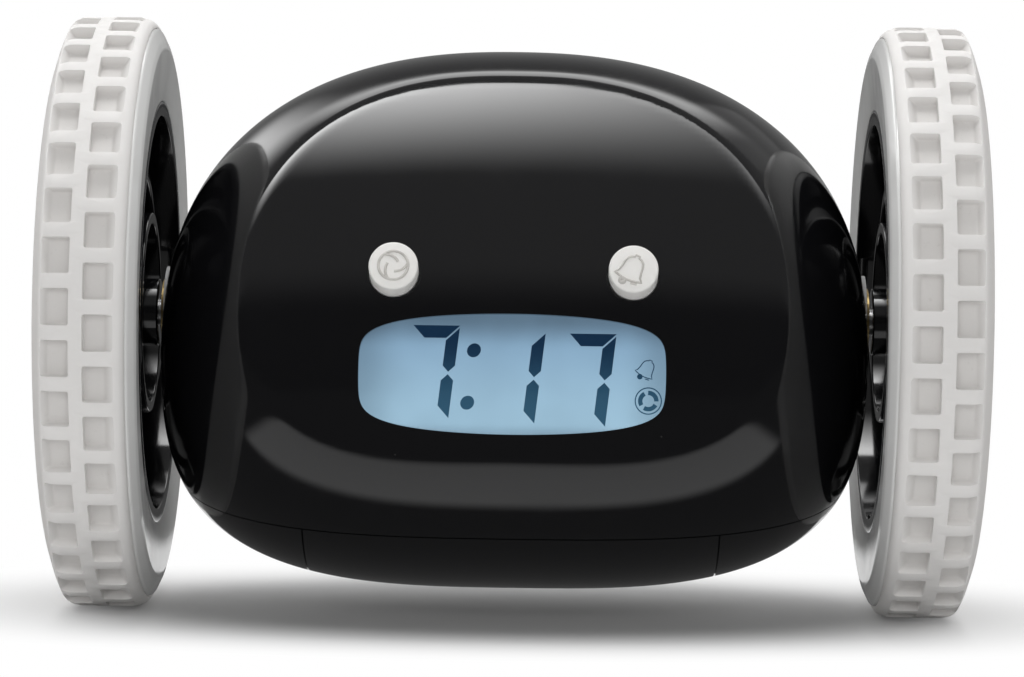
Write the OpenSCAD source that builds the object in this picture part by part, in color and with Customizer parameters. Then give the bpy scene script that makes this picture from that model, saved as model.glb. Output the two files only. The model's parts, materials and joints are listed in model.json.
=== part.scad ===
// Runaway alarm clock: a glossy egg of a body slung on one axle between two big
// soft-tyred wheels. Each wheel has its own geared motor, so the clock can drive off,
// spin and hide while the alarm sounds.
// Millimetres. +Z up, the face looks along -Y, +X is to the right as one looks at the face.
// The origin lies on the floor, half way between the wheels, below the axle.

/* [Wheels] */
// Diameter over the tyre tread
wheel_d = 88; // [85:0.5:92]
// Width of a tyre
tyre_w = 13.6; // [13.4:0.1:14.4]
// Thickness of the tyre over the rim bed
tyre_t = 3.45; // [3.2:0.05:4.2]
// How far the rim lip stands inboard of the tyre
rim_lip = 1.2; // [0.8:0.1:1.6]
// Wall of the rim
rim_t = 2; // [1.6:0.1:2.4]
// Outer radius of the black hub
hub_r = 31.5; // [29:0.5:32]
// Thickness of the hub's outer band
hub_band_t = 2.1; // [1.6:0.1:2.6]
// Outer radius of the ring round the hub's middle
hub_ring_r = 14.9; // [14:0.1:16]
// Thickness of the hub's web and of its swirl ribs
hub_web_t = 1.6; // [1.2:0.1:2.2]
// Radius of the curve of a swirl rib
swirl_r = 30; // [26:1:40]
// Number of swirl ribs
swirl_count = 3; // [3:1:5]
// Number of tread recesses in one row
tread_count = 38; // [30:1:44]
// Length of a recess along the tread
recess_l = 5.2; // [4:0.1:5.4]
// Width of a recess across the tread
recess_w = 3.5; // [2.8:0.1:3.6]
// Depth of a recess
recess_d = 1.7; // [1:0.1:2]
// Width of the rib round the middle of the tread
tread_rib_w = 1.9; // [1.6:0.1:2.4]

/* [Body] */
// Radius of the body's middle section
mid_r = 40; // [39:0.25:41]
// Roundness of the outline above, where 2 is an ellipse and more is squarer
round_top = 2.35; // [2.3:0.05:2.6]
// Roundness of the outline below
round_low = 3.1; // [2.9:0.05:3.4]
// Height of the cheeks' furthest points, seen from the axle
cheek_z = -5; // [-6:0.25:-4]
// Wall of the shells
wall = 2; // [1.6:0.1:2.4]
// Tilt of the face, back from upright
face_tilt = 21; // [19:0.5:23]
// Distance of the face's crown from the axle
face_h = 34.6; // [34.4:0.1:35]
// Height of the face's crown up the face
face_v = 0.5; // [0:0.25:1]
// Radius of the face's dome up and down
face_rv = 62; // [61:1:66]
// Radius of the face's dome from side to side
face_ru = 240; // [230:5:280]
// Height of the parting line below the axle
parting_z = -24.2; // [-25:0.1:-23.6]
// Rise of the parting line towards the back, in degrees
parting_tilt = 12; // [11:0.5:13]
// Groove left open along the parting line
groove = 0.2; // [0.1:0.05:0.3]

/* [Display] */
// Width of the display window
window_w = 43.4; // [42:0.1:44.4]
// Height of the display window
window_h = 17; // [16:0.2:17.8]
// Height of the window's middle up the face
window_v = -18.1; // [-18.8:0.1:-17.6]
// Tilt of the display, back from upright
display_tilt = 8; // [6:0.5:10]
// Clearance between the dome's inner wall and the corners of the glass panel
panel_gap = 1.7; // [1.6:0.1:2]
// Depth of the main board behind the window
board_depth = 11.7; // [11.6:0.1:12]
// Thickness of the circuit boards
board_t = 1.6; // [1:0.1:2]
// Height of the digits
digit_h = 13.4; // [12:0.2:13.8]
// Width of a digit
digit_w = 6.6; // [6:0.1:6.8]
// Width of a digit's bars
bar_w = 1.75; // [1.4:0.05:1.9]
// Lean of the digits in degrees
digit_lean = 6.5; // [4:0.5:10]

/* [Buttons] */
// Diameter of the two round buttons
button_d = 7; // [6.6:0.1:7.4]
// Distance between the two round buttons
button_gap = 33.8; // [32:0.2:35]
// Height of the round buttons up the face
button_v = -3.9; // [-4.2:0.1:-3.4]
// Tilt of the buttons, back from upright
button_tilt = 21; // [18:0.5:23]
// How far a round button stands out
button_out = 3; // [2.6:0.1:3.4]
// Travel of the round buttons
button_travel = 0.8; // [0.5:0.05:0.9]
// Diameter of the small keys at the back
key_d = 6; // [5:0.1:7]
// Distance between the keys
key_pitch = 12; // [11:0.1:12.4]
// How far a key stands out
key_out = 0.8; // [0.5:0.1:1.2]
// Travel of the keys
key_travel = 0.6; // [0.4:0.05:0.7]
// Clearance round a moving button
slip = 0.2; // [0.15:0.05:0.3]

/* [Speaker] */
// Diameter of the loudspeaker
speaker_d = 28; // [26:0.5:28.5]
// Angle of the loudspeaker above level, at the back
speaker_a = 38; // [36:1:42]
// Diameter of a grille hole
grille_hole_d = 1.6; // [1.2:0.1:1.9]
// Distance between grille holes
grille_pitch = 3; // [2.8:0.1:3.6]

/* [Batteries] */
// Diameter of a cell
cell_d = 10.5; // [10.3:0.05:10.5]
// Length of a cell
cell_l = 44.5; // [44.1:0.1:44.6]
// Distance between cells
cell_pitch = 10.9; // [10.8:0.05:11]
// Height of the cells below the axle
cell_z = -25.2; // [-25.5:0.1:-24.8]
// Place of the row of cells from front to back
row_y = -2.4; // [-2.6:0.1:-1]
// Width of the battery door
door_w = 60; // [58:0.5:61]
// Back edge of the battery door
door_y = 27; // [26.8:0.1:27.6]

/* [Drive] */
// Width of a drive, from the plate by the battery bay to the body's cheek
drive_w = 24; // [23.8:0.1:26]
// Module of the gear teeth
gear_m = 0.5; // [0.5:0.01:0.51]
// Thinning of each flank, for backlash
flank_play = 0.035; // [0.03:0.005:0.05]
// Width of the gear wheels
gear_w = 2.5; // [2.2:0.1:2.8]
// Diameter of the axle
axle_d = 4; // [3.8:0.1:4.2]
// Diameter of the pins that the gears turn on
pin_d = 1.5; // [1.3:0.1:1.7]
// Running clearance of a shaft in its bore, on the radius
running = 0.04; // [0.03:0.01:0.06]
// Diameter of the motor
motor_d = 20; // [19:0.5:20.5]
// Length of the motor
motor_l = 25; // [23:0.5:26]
// Diameter of the motor's shaft
motor_shaft_d = 2; // [1.8:0.1:2.2]
// Wall of the gearbox
box_wall = 1.2; // [1:0.1:1.3]
// Thickness of the gearbox plates
plate_t = 1.5; // [1.3:0.1:1.7]

/* [Hidden] */
$fn = 64;

black = "#17171a";
white = "#e9e7e3";
board_green = "#1f5a3c";
steel = "#b9bcc0";
nylon = "#ece9dc";

gap = 0.3;
touch = 0.02;
far = 200;

// Widths, from the battery bay in the middle outwards
spring_room = 5.2;
contact_room = 0.8;
chassis_t = 1.5;
bay_gap = 1.75;
cheek_gap = 0.1;
bay_x = (cell_l + spring_room + contact_room) / 2;
plate_x = bay_x + chassis_t + bay_gap;
half_w = plate_x + drive_w;
out_x = half_w + cheek_gap + rim_lip + tyre_w;
wheel_r = wheel_d / 2;

// Middle section of the body: a circle just ahead of the axle, seen from the cheeks' line
mid_y = -0.5;
mid_z = -0.4;
crease_soft = 0.25;
outer_stations = 24;
outer_spokes = 44;
inner_stations = 16;
inner_spokes = 30;

// ---------- Form of the body ----------

// Reach of the middle section from the line of the cheeks, at angle a about the axle's
// direction (0 points back, 90 up), t inside the surface
function mid_reach(a, t) =
    let (dz = cheek_z - mid_z, k = -mid_y * cos(a) + dz * sin(a))
    -k + sqrt(k * k - mid_y * mid_y - dz * dz + (mid_r - t) * (mid_r - t));

// Share of that reach left at station x
function taper(x, a, t) =
    let (n = round_top + (round_low - round_top) * (1 - sin(a)) / 2)
    pow(max(0, 1 - pow(min(1, abs(x) / (half_w - t)), n)), 1 / n);

// Reach of the face's flat dome along the same ray
function dome_reach(x, a, t) =
    let (
        dn = -cos(a) * cos(face_tilt) + sin(a) * sin(face_tilt),
        dv = cos(a) * sin(face_tilt) + sin(a) * cos(face_tilt),
        pn = cheek_z * sin(face_tilt),
        pv = cheek_z * cos(face_tilt) - face_v,
        qa = dv * dv / (2 * face_rv),
        qb = dn + pv * dv / face_rv,
        qc = pn + x * x / (2 * face_ru) + pv * pv / (2 * face_rv) - face_h + t,
        disc = qb * qb - 4 * qa * qc
    )
    dn < 0.15 || disc < 0 ? far : qa < 1e-6 ? -qc / qb : (-qb + sqrt(disc)) / (2 * qa);

// Smaller of two reaches, with a soft crease where they cross
function soft_min(p, q) =
    let (h = max(0, 1 - abs(p - q) / (4 * crease_soft)))
    min(p, q) - h * h * crease_soft;

function form_reach(x, a, t) = soft_min(mid_reach(a, t) * taper(x, a, t), dome_reach(x, a, t));

function form_point(x, a, t) =
    let (r = form_reach(x, a, t)) [x, r * cos(a), cheek_z + r * sin(a)];

// The body as one closed loft of rings about the line of the cheeks, t inside its surface
module form(t, stations, spokes) {
    reach_x = half_w - t;
    rings = [
        for (i = [1:stations - 1])
            for (k = [0:spokes - 1])
                form_point(-reach_x * cos(180 * i / stations), 360 * k / spokes, t)
    ];
    last = len(rings);
    polyhedron(
        points = concat(rings, [[-reach_x, 0, cheek_z], [reach_x, 0, cheek_z]]),
        faces = concat(
            [for (k = [0:spokes - 1]) [last, k, (k + 1) % spokes]],
            [for (i = [0:stations - 3]) for (k = [0:spokes - 1])
                [i * spokes + k, (i + 1) * spokes + k, i * spokes + (k + 1) % spokes]],
            [for (i = [0:stations - 3]) for (k = [0:spokes - 1])
                [(i + 1) * spokes + k, (i + 1) * spokes + (k + 1) % spokes,
                 i * spokes + (k + 1) % spokes]],
            [for (k = [0:spokes - 1])
                [last + 1, (stations - 2) * spokes + (k + 1) % spokes, (stations - 2) * spokes + k]]
        )
    );
}

module outer_form() form(0, outer_stations, outer_spokes);
module inner_form(t = wall) form(t, inner_stations, inner_spokes);

// ---------- Places ----------

module from_axle() translate([0, 0, wheel_r]) children();

// A drawing in the plane of the wheels, Y to the right and Z up, from x0 to x1
module slab(x0, x1) translate([x0, 0, 0]) rotate([90, 0, 90]) linear_extrude(x1 - x0) children();

module rod(x0, x1, r, at = [0, 0]) translate([x0, at[0], at[1]]) rotate([0, 90, 0]) cylinder(h = x1 - x0, r = r);

// A profile of radius and place along the axle, turned about the axle
module turned() rotate([0, 90, 0]) rotate_extrude($fn = 96) children();

module mirrored() mirror([1, 0, 0]) children();

// The space below or above the parting line, moved up by d
module below_parting(d = 0)
    translate([0, 0, parting_z + d]) rotate([parting_tilt, 0, 0])
        translate([-far / 2, -far / 2, -far]) cube(far);

module above_parting(d = 0)
    translate([0, 0, parting_z + d]) rotate([parting_tilt, 0, 0])
        translate([-far / 2, -far / 2, 0]) cube(far);

// Distance of the face's surface from the axle, at x across and v up the face
function face_surface(x, v) =
    face_h - x * x / (2 * face_ru) - (v - face_v) * (v - face_v) / (2 * face_rv);

// Place on the face with +Z out of it, tilted back by its own angle
module on_face(x, v, tilt) {
    h = face_surface(x, v);
    from_axle()
        translate([x, v * sin(face_tilt) - h * cos(face_tilt), v * cos(face_tilt) + h * sin(face_tilt)])
            rotate([90 - tilt, 0, 0]) children();
}

module on_display(z = 0) on_face(0, window_v, display_tilt) translate([0, 0, z]) children();

// Height of the face over the display's own plane, at x across and w up
function display_surface(x, w) =
    let (lean = face_tilt - atan((face_v - window_v) / face_rv) - display_tilt)
    -x * x / (2 * face_ru) - w * w / (2 * face_rv) - w * tan(lean);

// Place at the back with +Z out, a degrees above level
module on_back(a) from_axle() rotate([a - 90, 0, 0]) children();

// Distance of the back surface from the axle at station x, t inside it
function back_surface(x, t = 0) = mid_y + (mid_r - t) * taper(x, 0, t);

// ---------- Shells ----------

lens_clear = 0.15;
cheek_hole_r = 7.2;
neck_r = cheek_hole_r - gap;
post_r = 2.3;
pilot_r = 0.7;
frame_rim = 1;
post_x = window_w / 2 + 1 + frame_rim + post_r + 1.8;
post_hi = 20;
post_lo = -7;
key_post_x = 32;
key_board_h = 28.4;
boss_x = 20;
boss_y = 32.5;
boss_r = 3.2;
boss_top = -8;
boss_seat = -20.2;
screw_r = 1.1;
screw_head_r = 2.2;
screw_head_h = 1.4;
speaker_h = 34.2;
speaker_wall = 1.4;
speaker_skirt = 5;
grille_r = 11;
door_clear = 0.25;

// Outline of the window: a barrel with full corners
function barrel(w, h, n, steps) = [
    for (i = [0:steps - 1])
        let (c = cos(360 * i / steps), s = sin(360 * i / steps))
        [w / 2 * sign(c) * pow(abs(c), 2 / n), h / 2 * sign(s) * pow(abs(s), 2 / n)]
];

module window_outline(grow = 0) polygon(barrel(window_w + 2 * grow, window_h + 2 * grow, 3.5, 44));

module grille_holes()
    on_back(speaker_a)
        for (i = [-4:4])
            for (j = [-4:4]) {
                x = grille_pitch * (i + (abs(j) % 2) / 2);
                y = grille_pitch * j * sin(60);
                if (norm([x, y]) < grille_r)
                    translate([x, y, speaker_h - 1]) cylinder(h = 12, d = grille_hole_d, $fn = 20);
            }

// Posts that carry the main board, and behind it the key board
module board_posts(r, depth)
    on_display(-board_depth)
        for (sx = [-1, 1])
            for (w = [post_hi, post_lo])
                translate([sx * post_x, w, depth]) cylinder(h = board_depth, r = r, $fn = 32);

module key_posts(r, depth)
    on_back(0)
        for (sx = [-1, 1])
            translate([sx * key_post_x, 0, key_board_h + depth])
                cylinder(h = board_depth, r = r, $fn = 32);

module speaker_ring()
    on_back(speaker_a)
        translate([0, 0, speaker_h - speaker_skirt])
            difference() {
                cylinder(h = 2 * speaker_skirt, d = speaker_d + 2 * (gap + speaker_wall));
                translate([0, 0, -1]) cylinder(h = 3 * speaker_skirt, d = speaker_d + 2 * gap);
            }

module shell_bosses(top)
    for (sx = [-1, 1])
        translate([sx * boss_x, boss_y, -mid_r]) cylinder(h = mid_r + top, r = boss_r, $fn = 32);

module shell_screw_holes()
    for (sx = [-1, 1])
        translate([sx * boss_x, boss_y, 0]) {
            translate([0, 0, -mid_r]) cylinder(h = mid_r + boss_top - 1.2, r = screw_r + 0.1, $fn = 32);
            translate([0, 0, -mid_r]) cylinder(h = mid_r + boss_seat, r = screw_head_r + 0.2, $fn = 32);
        }

module shell_wall() difference() {
    outer_form();
    inner_form();
}

module top_shell() color(black) difference() {
    union() {
        from_axle() shell_wall();
        intersection() {
            from_axle() inner_form(wall / 2);
            union() {
                from_axle() shell_bosses(boss_top);
                board_posts(post_r, 0);
                key_posts(post_r, 0);
                speaker_ring();
            }
        }
    }
    from_axle() {
        below_parting(groove / 2);
        shell_screw_holes();
        rod(-mid_r - wheel_r, mid_r + wheel_r, cheek_hole_r);
    }
    board_posts(pilot_r, -board_depth + 5);
    key_posts(pilot_r, -board_depth + 4);
    on_display(-board_depth + 3) linear_extrude(2 * board_depth) window_outline();
    for (sx = [-1, 1])
        on_face(sx * button_gap / 2, button_v, button_tilt)
            translate([0, 0, -4]) cylinder(h = 12, d = button_d + 2 * slip);
    on_back(0)
        for (i = [-2:2])
            translate([i * key_pitch, 0, key_board_h + 4]) cylinder(h = 12, d = key_d + 2 * slip, $fn = 40);
    grille_holes();
}

// Stands in the lower shell that carry the ears of the chassis
module ear_stands()
    for (sx = [-1, 1])
        translate([sx * ear_x, ear_y, -mid_r]) cylinder(h = mid_r + ear_z, r = ear_r, $fn = 32);

module base_shell() color(black) from_axle() difference() {
    union() {
        shell_wall();
        intersection() {
            inner_form(wall / 2);
            union() {
                shell_bosses(0);
                ear_stands();
            }
        }
    }
    above_parting(-groove / 2);
    shell_screw_holes();
    for (sx = [-1, 1])
        translate([sx * ear_x, ear_y, ear_z - 4]) cylinder(h = 6, r = pilot_r, $fn = 24);
    translate([-door_w / 2 - door_clear, -far, -far])
        cube([door_w + 2 * door_clear, far + door_y + door_clear, far + cell_z]);
}

module shell_screws() color(steel) from_axle()
    for (sx = [-1, 1])
        translate([sx * boss_x, boss_y, boss_seat]) {
            cylinder(h = boss_top - 2 - boss_seat, r = screw_r);
            translate([0, 0, -screw_head_h]) difference() {
                cylinder(h = screw_head_h, r = screw_head_r);
                cross_slot(screw_head_r, 0);
            }
        }

// Crosshead recess that opens downwards at height z
module cross_slot(r, z)
    for (a = [0, 90])
        rotate([0, 0, a]) translate([-0.25 * r, -0.7 * r, z - 1]) cube([0.5 * r, 1.4 * r, 1.7]);

// ---------- Battery door ----------

door_screw_y = 24.2;
door_screw_r = 1;
door_head_r = 2;
door_head_seat = -30.8;
door_screw_top = -24;
door_boss_r = 2.4;
door_boss_end = -26.5;

module battery_door() color(black) from_axle() difference() {
    intersection() {
        shell_wall();
        translate([-door_w / 2, -far, -far]) cube([door_w, far + door_y, far + cell_z]);
    }
    above_parting(-groove / 2);
    translate([0, door_screw_y, -mid_r]) cylinder(h = mid_r, r = door_screw_r + 0.15, $fn = 32);
    translate([0, door_screw_y, -mid_r - 5])
        cylinder(h = mid_r + 5 + door_head_seat, r = door_head_r + 0.2, $fn = 32);
}

module door_screw() color(steel) from_axle()
    translate([0, door_screw_y, door_head_seat]) {
        cylinder(h = door_screw_top - door_head_seat, r = door_screw_r);
        translate([0, 0, -1]) difference() {
            cylinder(h = 1, r = door_head_r);
            cross_slot(door_head_r, -0.2);
        }
    }

// ---------- Chassis and batteries ----------

bay_play = 0.35;
contact_t = 0.5;
bay_y = 2 * cell_pitch + bay_play;
bay_top = cell_z + cell_d / 2 + 0.5;
bay_floor = -25;
ear_x = 33;
ear_y = 22;
ear_z = -22.5;
ear_r = 3;
saddle_w = 3.5;
saddle_in = 1.5;
saddle_y = 14;
tab_at = [18.8, -14.6];

module saddle(x)
    difference() {
        translate([x, motor_at[0] - saddle_y, bay_top])
            cube([saddle_w, 2 * saddle_y, motor_at[1] - bay_top]);
        rod(x - 1, x + saddle_w + 1, motor_d / 2 + 0.1, motor_at);
    }

module chassis_ear() difference() {
    union() {
        translate([bay_x, ear_y - ear_r, ear_z]) cube([ear_x - bay_x, 2 * ear_r - 0.6, chassis_t]);
        translate([ear_x, ear_y - 0.6, ear_z]) cylinder(h = chassis_t, r = ear_r - 0.6, $fn = 32);
    }
    translate([ear_x, ear_y, ear_z - 1]) cylinder(h = 4, r = pilot_r + 0.5, $fn = 24);
}

module chassis() color("#2a2a2e") from_axle() difference() {
    union() {
        difference() {
            translate([-bay_x - chassis_t, row_y - bay_y - chassis_t, bay_floor])
                cube([2 * (bay_x + chassis_t), 2 * (bay_y + chassis_t), bay_top + chassis_t - bay_floor]);
            translate([-bay_x, row_y - bay_y, bay_floor - 1])
                cube([2 * bay_x, 2 * bay_y, bay_top + 1 - bay_floor]);
        }
        translate([-1, row_y + bay_y + 0.5, bay_floor]) cube([2, 4, 8]);
        translate([0, door_screw_y, door_boss_end]) cylinder(h = 6.3, r = door_boss_r, $fn = 32);
        for (side = [0, 1])
            mirror([side, 0, 0]) {
                chassis_ear();
                saddle(plate_x - touch - saddle_w);
                saddle(plate_x - motor_l + saddle_in);
            }
    }
    translate([0, door_screw_y, door_boss_end - 1]) cylinder(h = 5.5, r = door_screw_r + running, $fn = 24);
    for (sx = [-1, 1])
        rod(sx * (plate_x - 1) - 3, sx * (plate_x - 1) + 3, pilot_r, tab_at);
}

function cell_shift(i) = (i % 2 == 0 ? 1 : -1) * (bay_x - contact_room - cell_l / 2);
function cell_y(i) = row_y + (i - 1.5) * cell_pitch;

module cell(i) translate([cell_shift(i), cell_y(i), cell_z]) mirror([i % 2, 0, 0]) {
    rod(-cell_l / 2, cell_l / 2 - 1, cell_d / 2);
    rod(cell_l / 2 - 1, cell_l / 2, 1.9);
}

module battery_cells() color("#8f9296") from_axle() for (i = [0:3]) cell(i);

module contact_springs() color(steel) from_axle()
    for (i = [0:3])
        translate([0, cell_y(i), cell_z]) mirror([i % 2, 0, 0])
            translate([-bay_x + contact_t, 0, 0]) rotate([0, 90, 0]) difference() {
                cylinder(h = spring_room - contact_t - gap, r1 = 3.6, r2 = 2.2);
                translate([0, 0, -1]) cylinder(h = spring_room + 1, r = 1.6);
            }

module contact_plates() color(steel) from_axle()
    for (i = [0:3])
        for (sx = [-1, 1])
            translate([sx * (bay_x - contact_t / 2), cell_y(i), cell_z])
                cube([contact_t, cell_d - 3, cell_d - 4], center = true);

// ---------- Display and boards ----------

panel_t = 2.2;
guide_t = 2;
panel_margin = 1;
digit_t = 0.15;
board_x = post_x + post_r + 0.2;
board_up = 24;
board_down = 9.6;
chip_w = 9;
colon_at = [-5.9, -0.1];
colon_h = 3.7;
colon_r = 0.98;
digit_at = [[-11.6, 0.35], [0.65, -0.25], [10.7, -0.55]];
bar_gap = 0.35;

panel_w = window_w + 2 * panel_margin;
panel_h = window_h + 0.8 * panel_margin;
display_lean = abs(face_tilt - atan((face_v - window_v) / face_rv) - display_tilt);
panel_sag = pow(panel_w / 2, 2) / (2 * face_ru) + pow(panel_h / 2, 2) / (2 * face_rv);
panel_depth = wall + panel_gap + panel_sag + panel_h / 2 * tan(display_lean);

module block(w, h, z0, z1) translate([-w / 2, -h / 2, z0]) cube([w, h, z1 - z0]);

module display_lens() color("#9fb4c4") intersection() {
    from_axle() difference() {
        outer_form();
        inner_form();
    }
    on_display(-board_depth) linear_extrude(2 * board_depth) window_outline(-lens_clear);
}

module lcd_panel() color("#8fb0c8") on_display() block(panel_w, panel_h, -panel_depth - panel_t, -panel_depth);

module light_guide() color("#cfe4f2") on_display()
    block(panel_w, panel_h, -panel_depth - panel_t - guide_t, -panel_depth - panel_t);

module display_frame() color("#dedede") on_display() {
    back = -panel_depth - panel_t - guide_t;
    difference() {
        block(panel_w + 2 * frame_rim, panel_h + 2 * frame_rim, -board_depth, -panel_depth - 1.2);
        block(panel_w + 0.2, panel_h + 0.2, back - touch, 0);
        block(panel_w - 2, panel_h - 2, -board_depth - 1, back - 1.5);
    }
}

// A bar across the top of a digit, mitred at both ends
module level_bar() polygon([
    [-digit_w / 2, digit_h / 2], [digit_w / 2, digit_h / 2],
    [digit_w / 2 - bar_w, digit_h / 2 - bar_w], [-digit_w / 2 + bar_w, digit_h / 2 - bar_w]
]);

// A bar up the right side, mitred above and pointed at the digit's waist
module upright_bar() polygon([
    [digit_w / 2, digit_h / 2 - bar_gap], [digit_w / 2, bar_w * 0.5 + bar_gap / 2],
    [digit_w / 2 - bar_w / 2, bar_gap / 2], [digit_w / 2 - bar_w, bar_w * 0.5 + bar_gap / 2],
    [digit_w / 2 - bar_w, digit_h / 2 - bar_w - bar_gap]
]);

module one() {
    upright_bar();
    mirror([0, 1]) upright_bar();
}

module seven() {
    one();
    level_bar();
}

module leaning() multmatrix([[1, tan(digit_lean), 0, 0], [0, 1, 0, 0], [0, 0, 1, 0], [0, 0, 0, 1]]) children();

// The time shown, 7:17
module lcd_digits() color("#1c3a52") on_display(-panel_depth + touch) linear_extrude(digit_t) leaning() {
    translate(digit_at[0]) seven();
    translate(digit_at[1]) one();
    translate(digit_at[2]) seven();
    for (sy = [-1, 1]) translate(colon_at + [0, sy * colon_h]) circle(r = colon_r, $fn = 32);
}

module main_board() color(board_green) on_display(-board_depth - board_t) difference() {
    translate([-board_x, -board_down, 0]) cube([2 * board_x, board_down + board_up, board_t]);
    for (sx = [-1, 1])
        for (w = [post_hi, post_lo])
            translate([sx * post_x, w, -1]) cylinder(h = board_t + 2, r = pilot_r + 0.5, $fn = 24);
}

module controller_chip() color("#202022") on_display(-board_depth - board_t)
    translate([0, 8, 0]) block(chip_w, chip_w, -1.6, 0);

// A tact switch on its board, with its plunger up
switch_w = 4.5;
switch_h = 2.6;
plunger_h = 0.7;

module tact_switch() {
    block(switch_w, switch_w, 0, switch_h);
    cylinder(h = switch_h + plunger_h, r = 1.7, $fn = 32);
}

// Where a button's axis meets the top of its switch, worked out in the display's own plane
button_h = face_surface(button_gap / 2, button_v);
window_mid_h = face_surface(0, window_v);
button_from_window = [
    (button_v - window_v) * sin(face_tilt) - (button_h - window_mid_h) * cos(face_tilt),
    (button_v - window_v) * cos(face_tilt) + (button_h - window_mid_h) * sin(face_tilt)
];
button_up = button_from_window[0] * sin(display_tilt) + button_from_window[1] * cos(display_tilt);
button_over = -button_from_window[0] * cos(display_tilt) + button_from_window[1] * sin(display_tilt)
    + board_depth;
axis_lean = button_tilt - display_tilt;
stem_r = 1.5;
stem_room = button_travel + gap;
stem_l = (button_over - switch_h - plunger_h - stem_room - stem_r * sin(axis_lean)) / cos(axis_lean);
face_switch_w = button_up - stem_l * sin(axis_lean);

module face_switches() color("#3a3a3e") on_display(-board_depth)
    for (sx = [-1, 1]) translate([sx * button_gap / 2, face_switch_w, 0]) tact_switch();

flange_t = 1;
flange_out = 1.1;
flange_drop = 0.8;

// How far the facets of the inner wall may lie inside its true curve
facet_sag = 0.35;

// A round button: domed cap, flange that keeps it behind the shell, and stem
module round_button() {
    crown = 0.35;
    rotate_extrude($fn = 64) polygon([
        [0, -stem_l], [stem_r, -stem_l], [stem_r, -wall - flange_drop - flange_t],
        [button_d / 2 + flange_out, -wall - flange_drop - flange_t],
        [button_d / 2 + flange_out, -wall - flange_drop], [button_d / 2, -wall - flange_drop],
        [button_d / 2, button_out - 2 * crown], [button_d / 2 - 0.12, button_out - crown],
        [button_d / 2 - crown, button_out - 0.12], [button_d / 2 - 2 * crown, button_out],
        [0, button_out + 0.05]
    ]);
}

module run_button() color(white) on_face(-button_gap / 2, button_v, button_tilt) round_button();
module alarm_button() color(white) on_face(button_gap / 2, button_v, button_tilt) round_button();

module key_board() color(board_green) on_back(0) difference() {
    block(2 * key_post_x + 6, 10, key_board_h - board_t, key_board_h);
    for (sx = [-1, 1])
        translate([sx * key_post_x, 0, 0]) cylinder(h = far, r = pilot_r + 0.5, $fn = 24);
}

module key_switches() color("#3a3a3e") on_back(0)
    for (i = [-2:2]) translate([i * key_pitch, 0, key_board_h]) tact_switch();

// A small key, its height fitted to the curve of the back at its own place
module back_key(i) {
    x = abs(i) * key_pitch;
    top = back_surface(x) + key_out;
    edge = back_surface(x + key_d / 2 + flange_out, wall) - gap - facet_sag;
    foot = key_board_h + switch_h + plunger_h + key_travel + gap;
    on_back(0) translate([i * key_pitch, 0, 0]) rotate_extrude($fn = 48) polygon([
        [0, foot], [stem_r, foot], [stem_r, edge - flange_t],
        [key_d / 2 + flange_out, edge - flange_t], [key_d / 2 + flange_out, edge],
        [key_d / 2, edge], [key_d / 2, top - 0.4], [key_d / 2 - 0.4, top], [0, top]
    ]);
}

module time_key() color(white) back_key(-2);
module hour_key() color(white) back_key(-1);
module minute_key() color(white) back_key(0);
module alarm_key() color(white) back_key(1);
module snooze_key() color(white) back_key(2);

// A small self-tapping screw, head up at the origin
module small_screw(length) {
    cylinder(h = 1.2, r = 1.9, $fn = 32);
    translate([0, 0, -length]) cylinder(h = length, r = pilot_r - touch, $fn = 24);
}

module inner_screws() color(steel) {
    on_display(-board_depth - board_t)
        for (sx = [-1, 1])
            for (w = [post_hi, post_lo])
                translate([sx * post_x, w, 0]) mirror([0, 0, 1]) small_screw(board_t + 3.5);
    on_back(0)
        for (sx = [-1, 1])
            translate([sx * key_post_x, 0, key_board_h - board_t]) mirror([0, 0, 1]) small_screw(board_t + 2.5);
    from_axle()
        for (sx = [-1, 1]) {
            translate([sx * ear_x, ear_y, ear_z + chassis_t]) small_screw(chassis_t + 3);
            translate([sx * (plate_x + plate_t), tab_at[0], tab_at[1]])
                rotate([0, sx * 90, 0]) small_screw(plate_t + 2);
        }
}

// ---------- Loudspeaker ----------

speaker_r = speaker_d / 2;
basket_r = 9.2;
basket_h = 5;
magnet_r = 9;
magnet_t = 4.5;

module speaker_frame() color(steel) on_back(speaker_a) translate([0, 0, speaker_h])
    rotate_extrude($fn = 64) polygon([
        [speaker_r, 0], [speaker_r, -1.2], [speaker_r - 1, -1.4], [basket_r, -basket_h],
        [4.2, -basket_h], [4.2, -basket_h + 0.8], [basket_r - 0.4, -basket_h + 0.8],
        [speaker_r - 1.6, -0.8], [speaker_r - 1.6, 0]
    ]);

module speaker_cone() color("#2b2b2d") on_back(speaker_a) translate([0, 0, speaker_h])
    rotate_extrude($fn = 64) polygon([
        [speaker_r - 1.9, -0.5], [speaker_r - 2.6, -0.2], [speaker_r - 3.3, -0.5],
        [4, -3.2], [2.4, -2.5], [0, -2.2], [0, -2.5], [2.3, -2.8], [3.6, -3.4], [3.6, -4.1],
        [4, -4.1], [4, -3.6], [speaker_r - 3.1, -0.85], [speaker_r - 1.9, -0.8]
    ]);

module speaker_magnet() color("#5b5d61") on_back(speaker_a)
    translate([0, 0, speaker_h - basket_h - magnet_t]) difference() {
        cylinder(h = magnet_t - touch, r = magnet_r);
        translate([0, 0, 1.5]) difference() {
            cylinder(h = magnet_t, r = 4.4);
            translate([0, 0, -1]) cylinder(h = magnet_t + 2, r = 3.4);
        }
    }

// ---------- Drive, drawn for the right side ----------

press_a = 25;
pinion_n = 10;
wheel_n = 40;
low_n = 12;
axle_n = 44;
addendum = 0.85;
dedendum = 1.2;
stage = gear_w + 1;
second_a = 221;
first_a = -33;
motor_a = 50;
box_play = 0.6;

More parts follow.
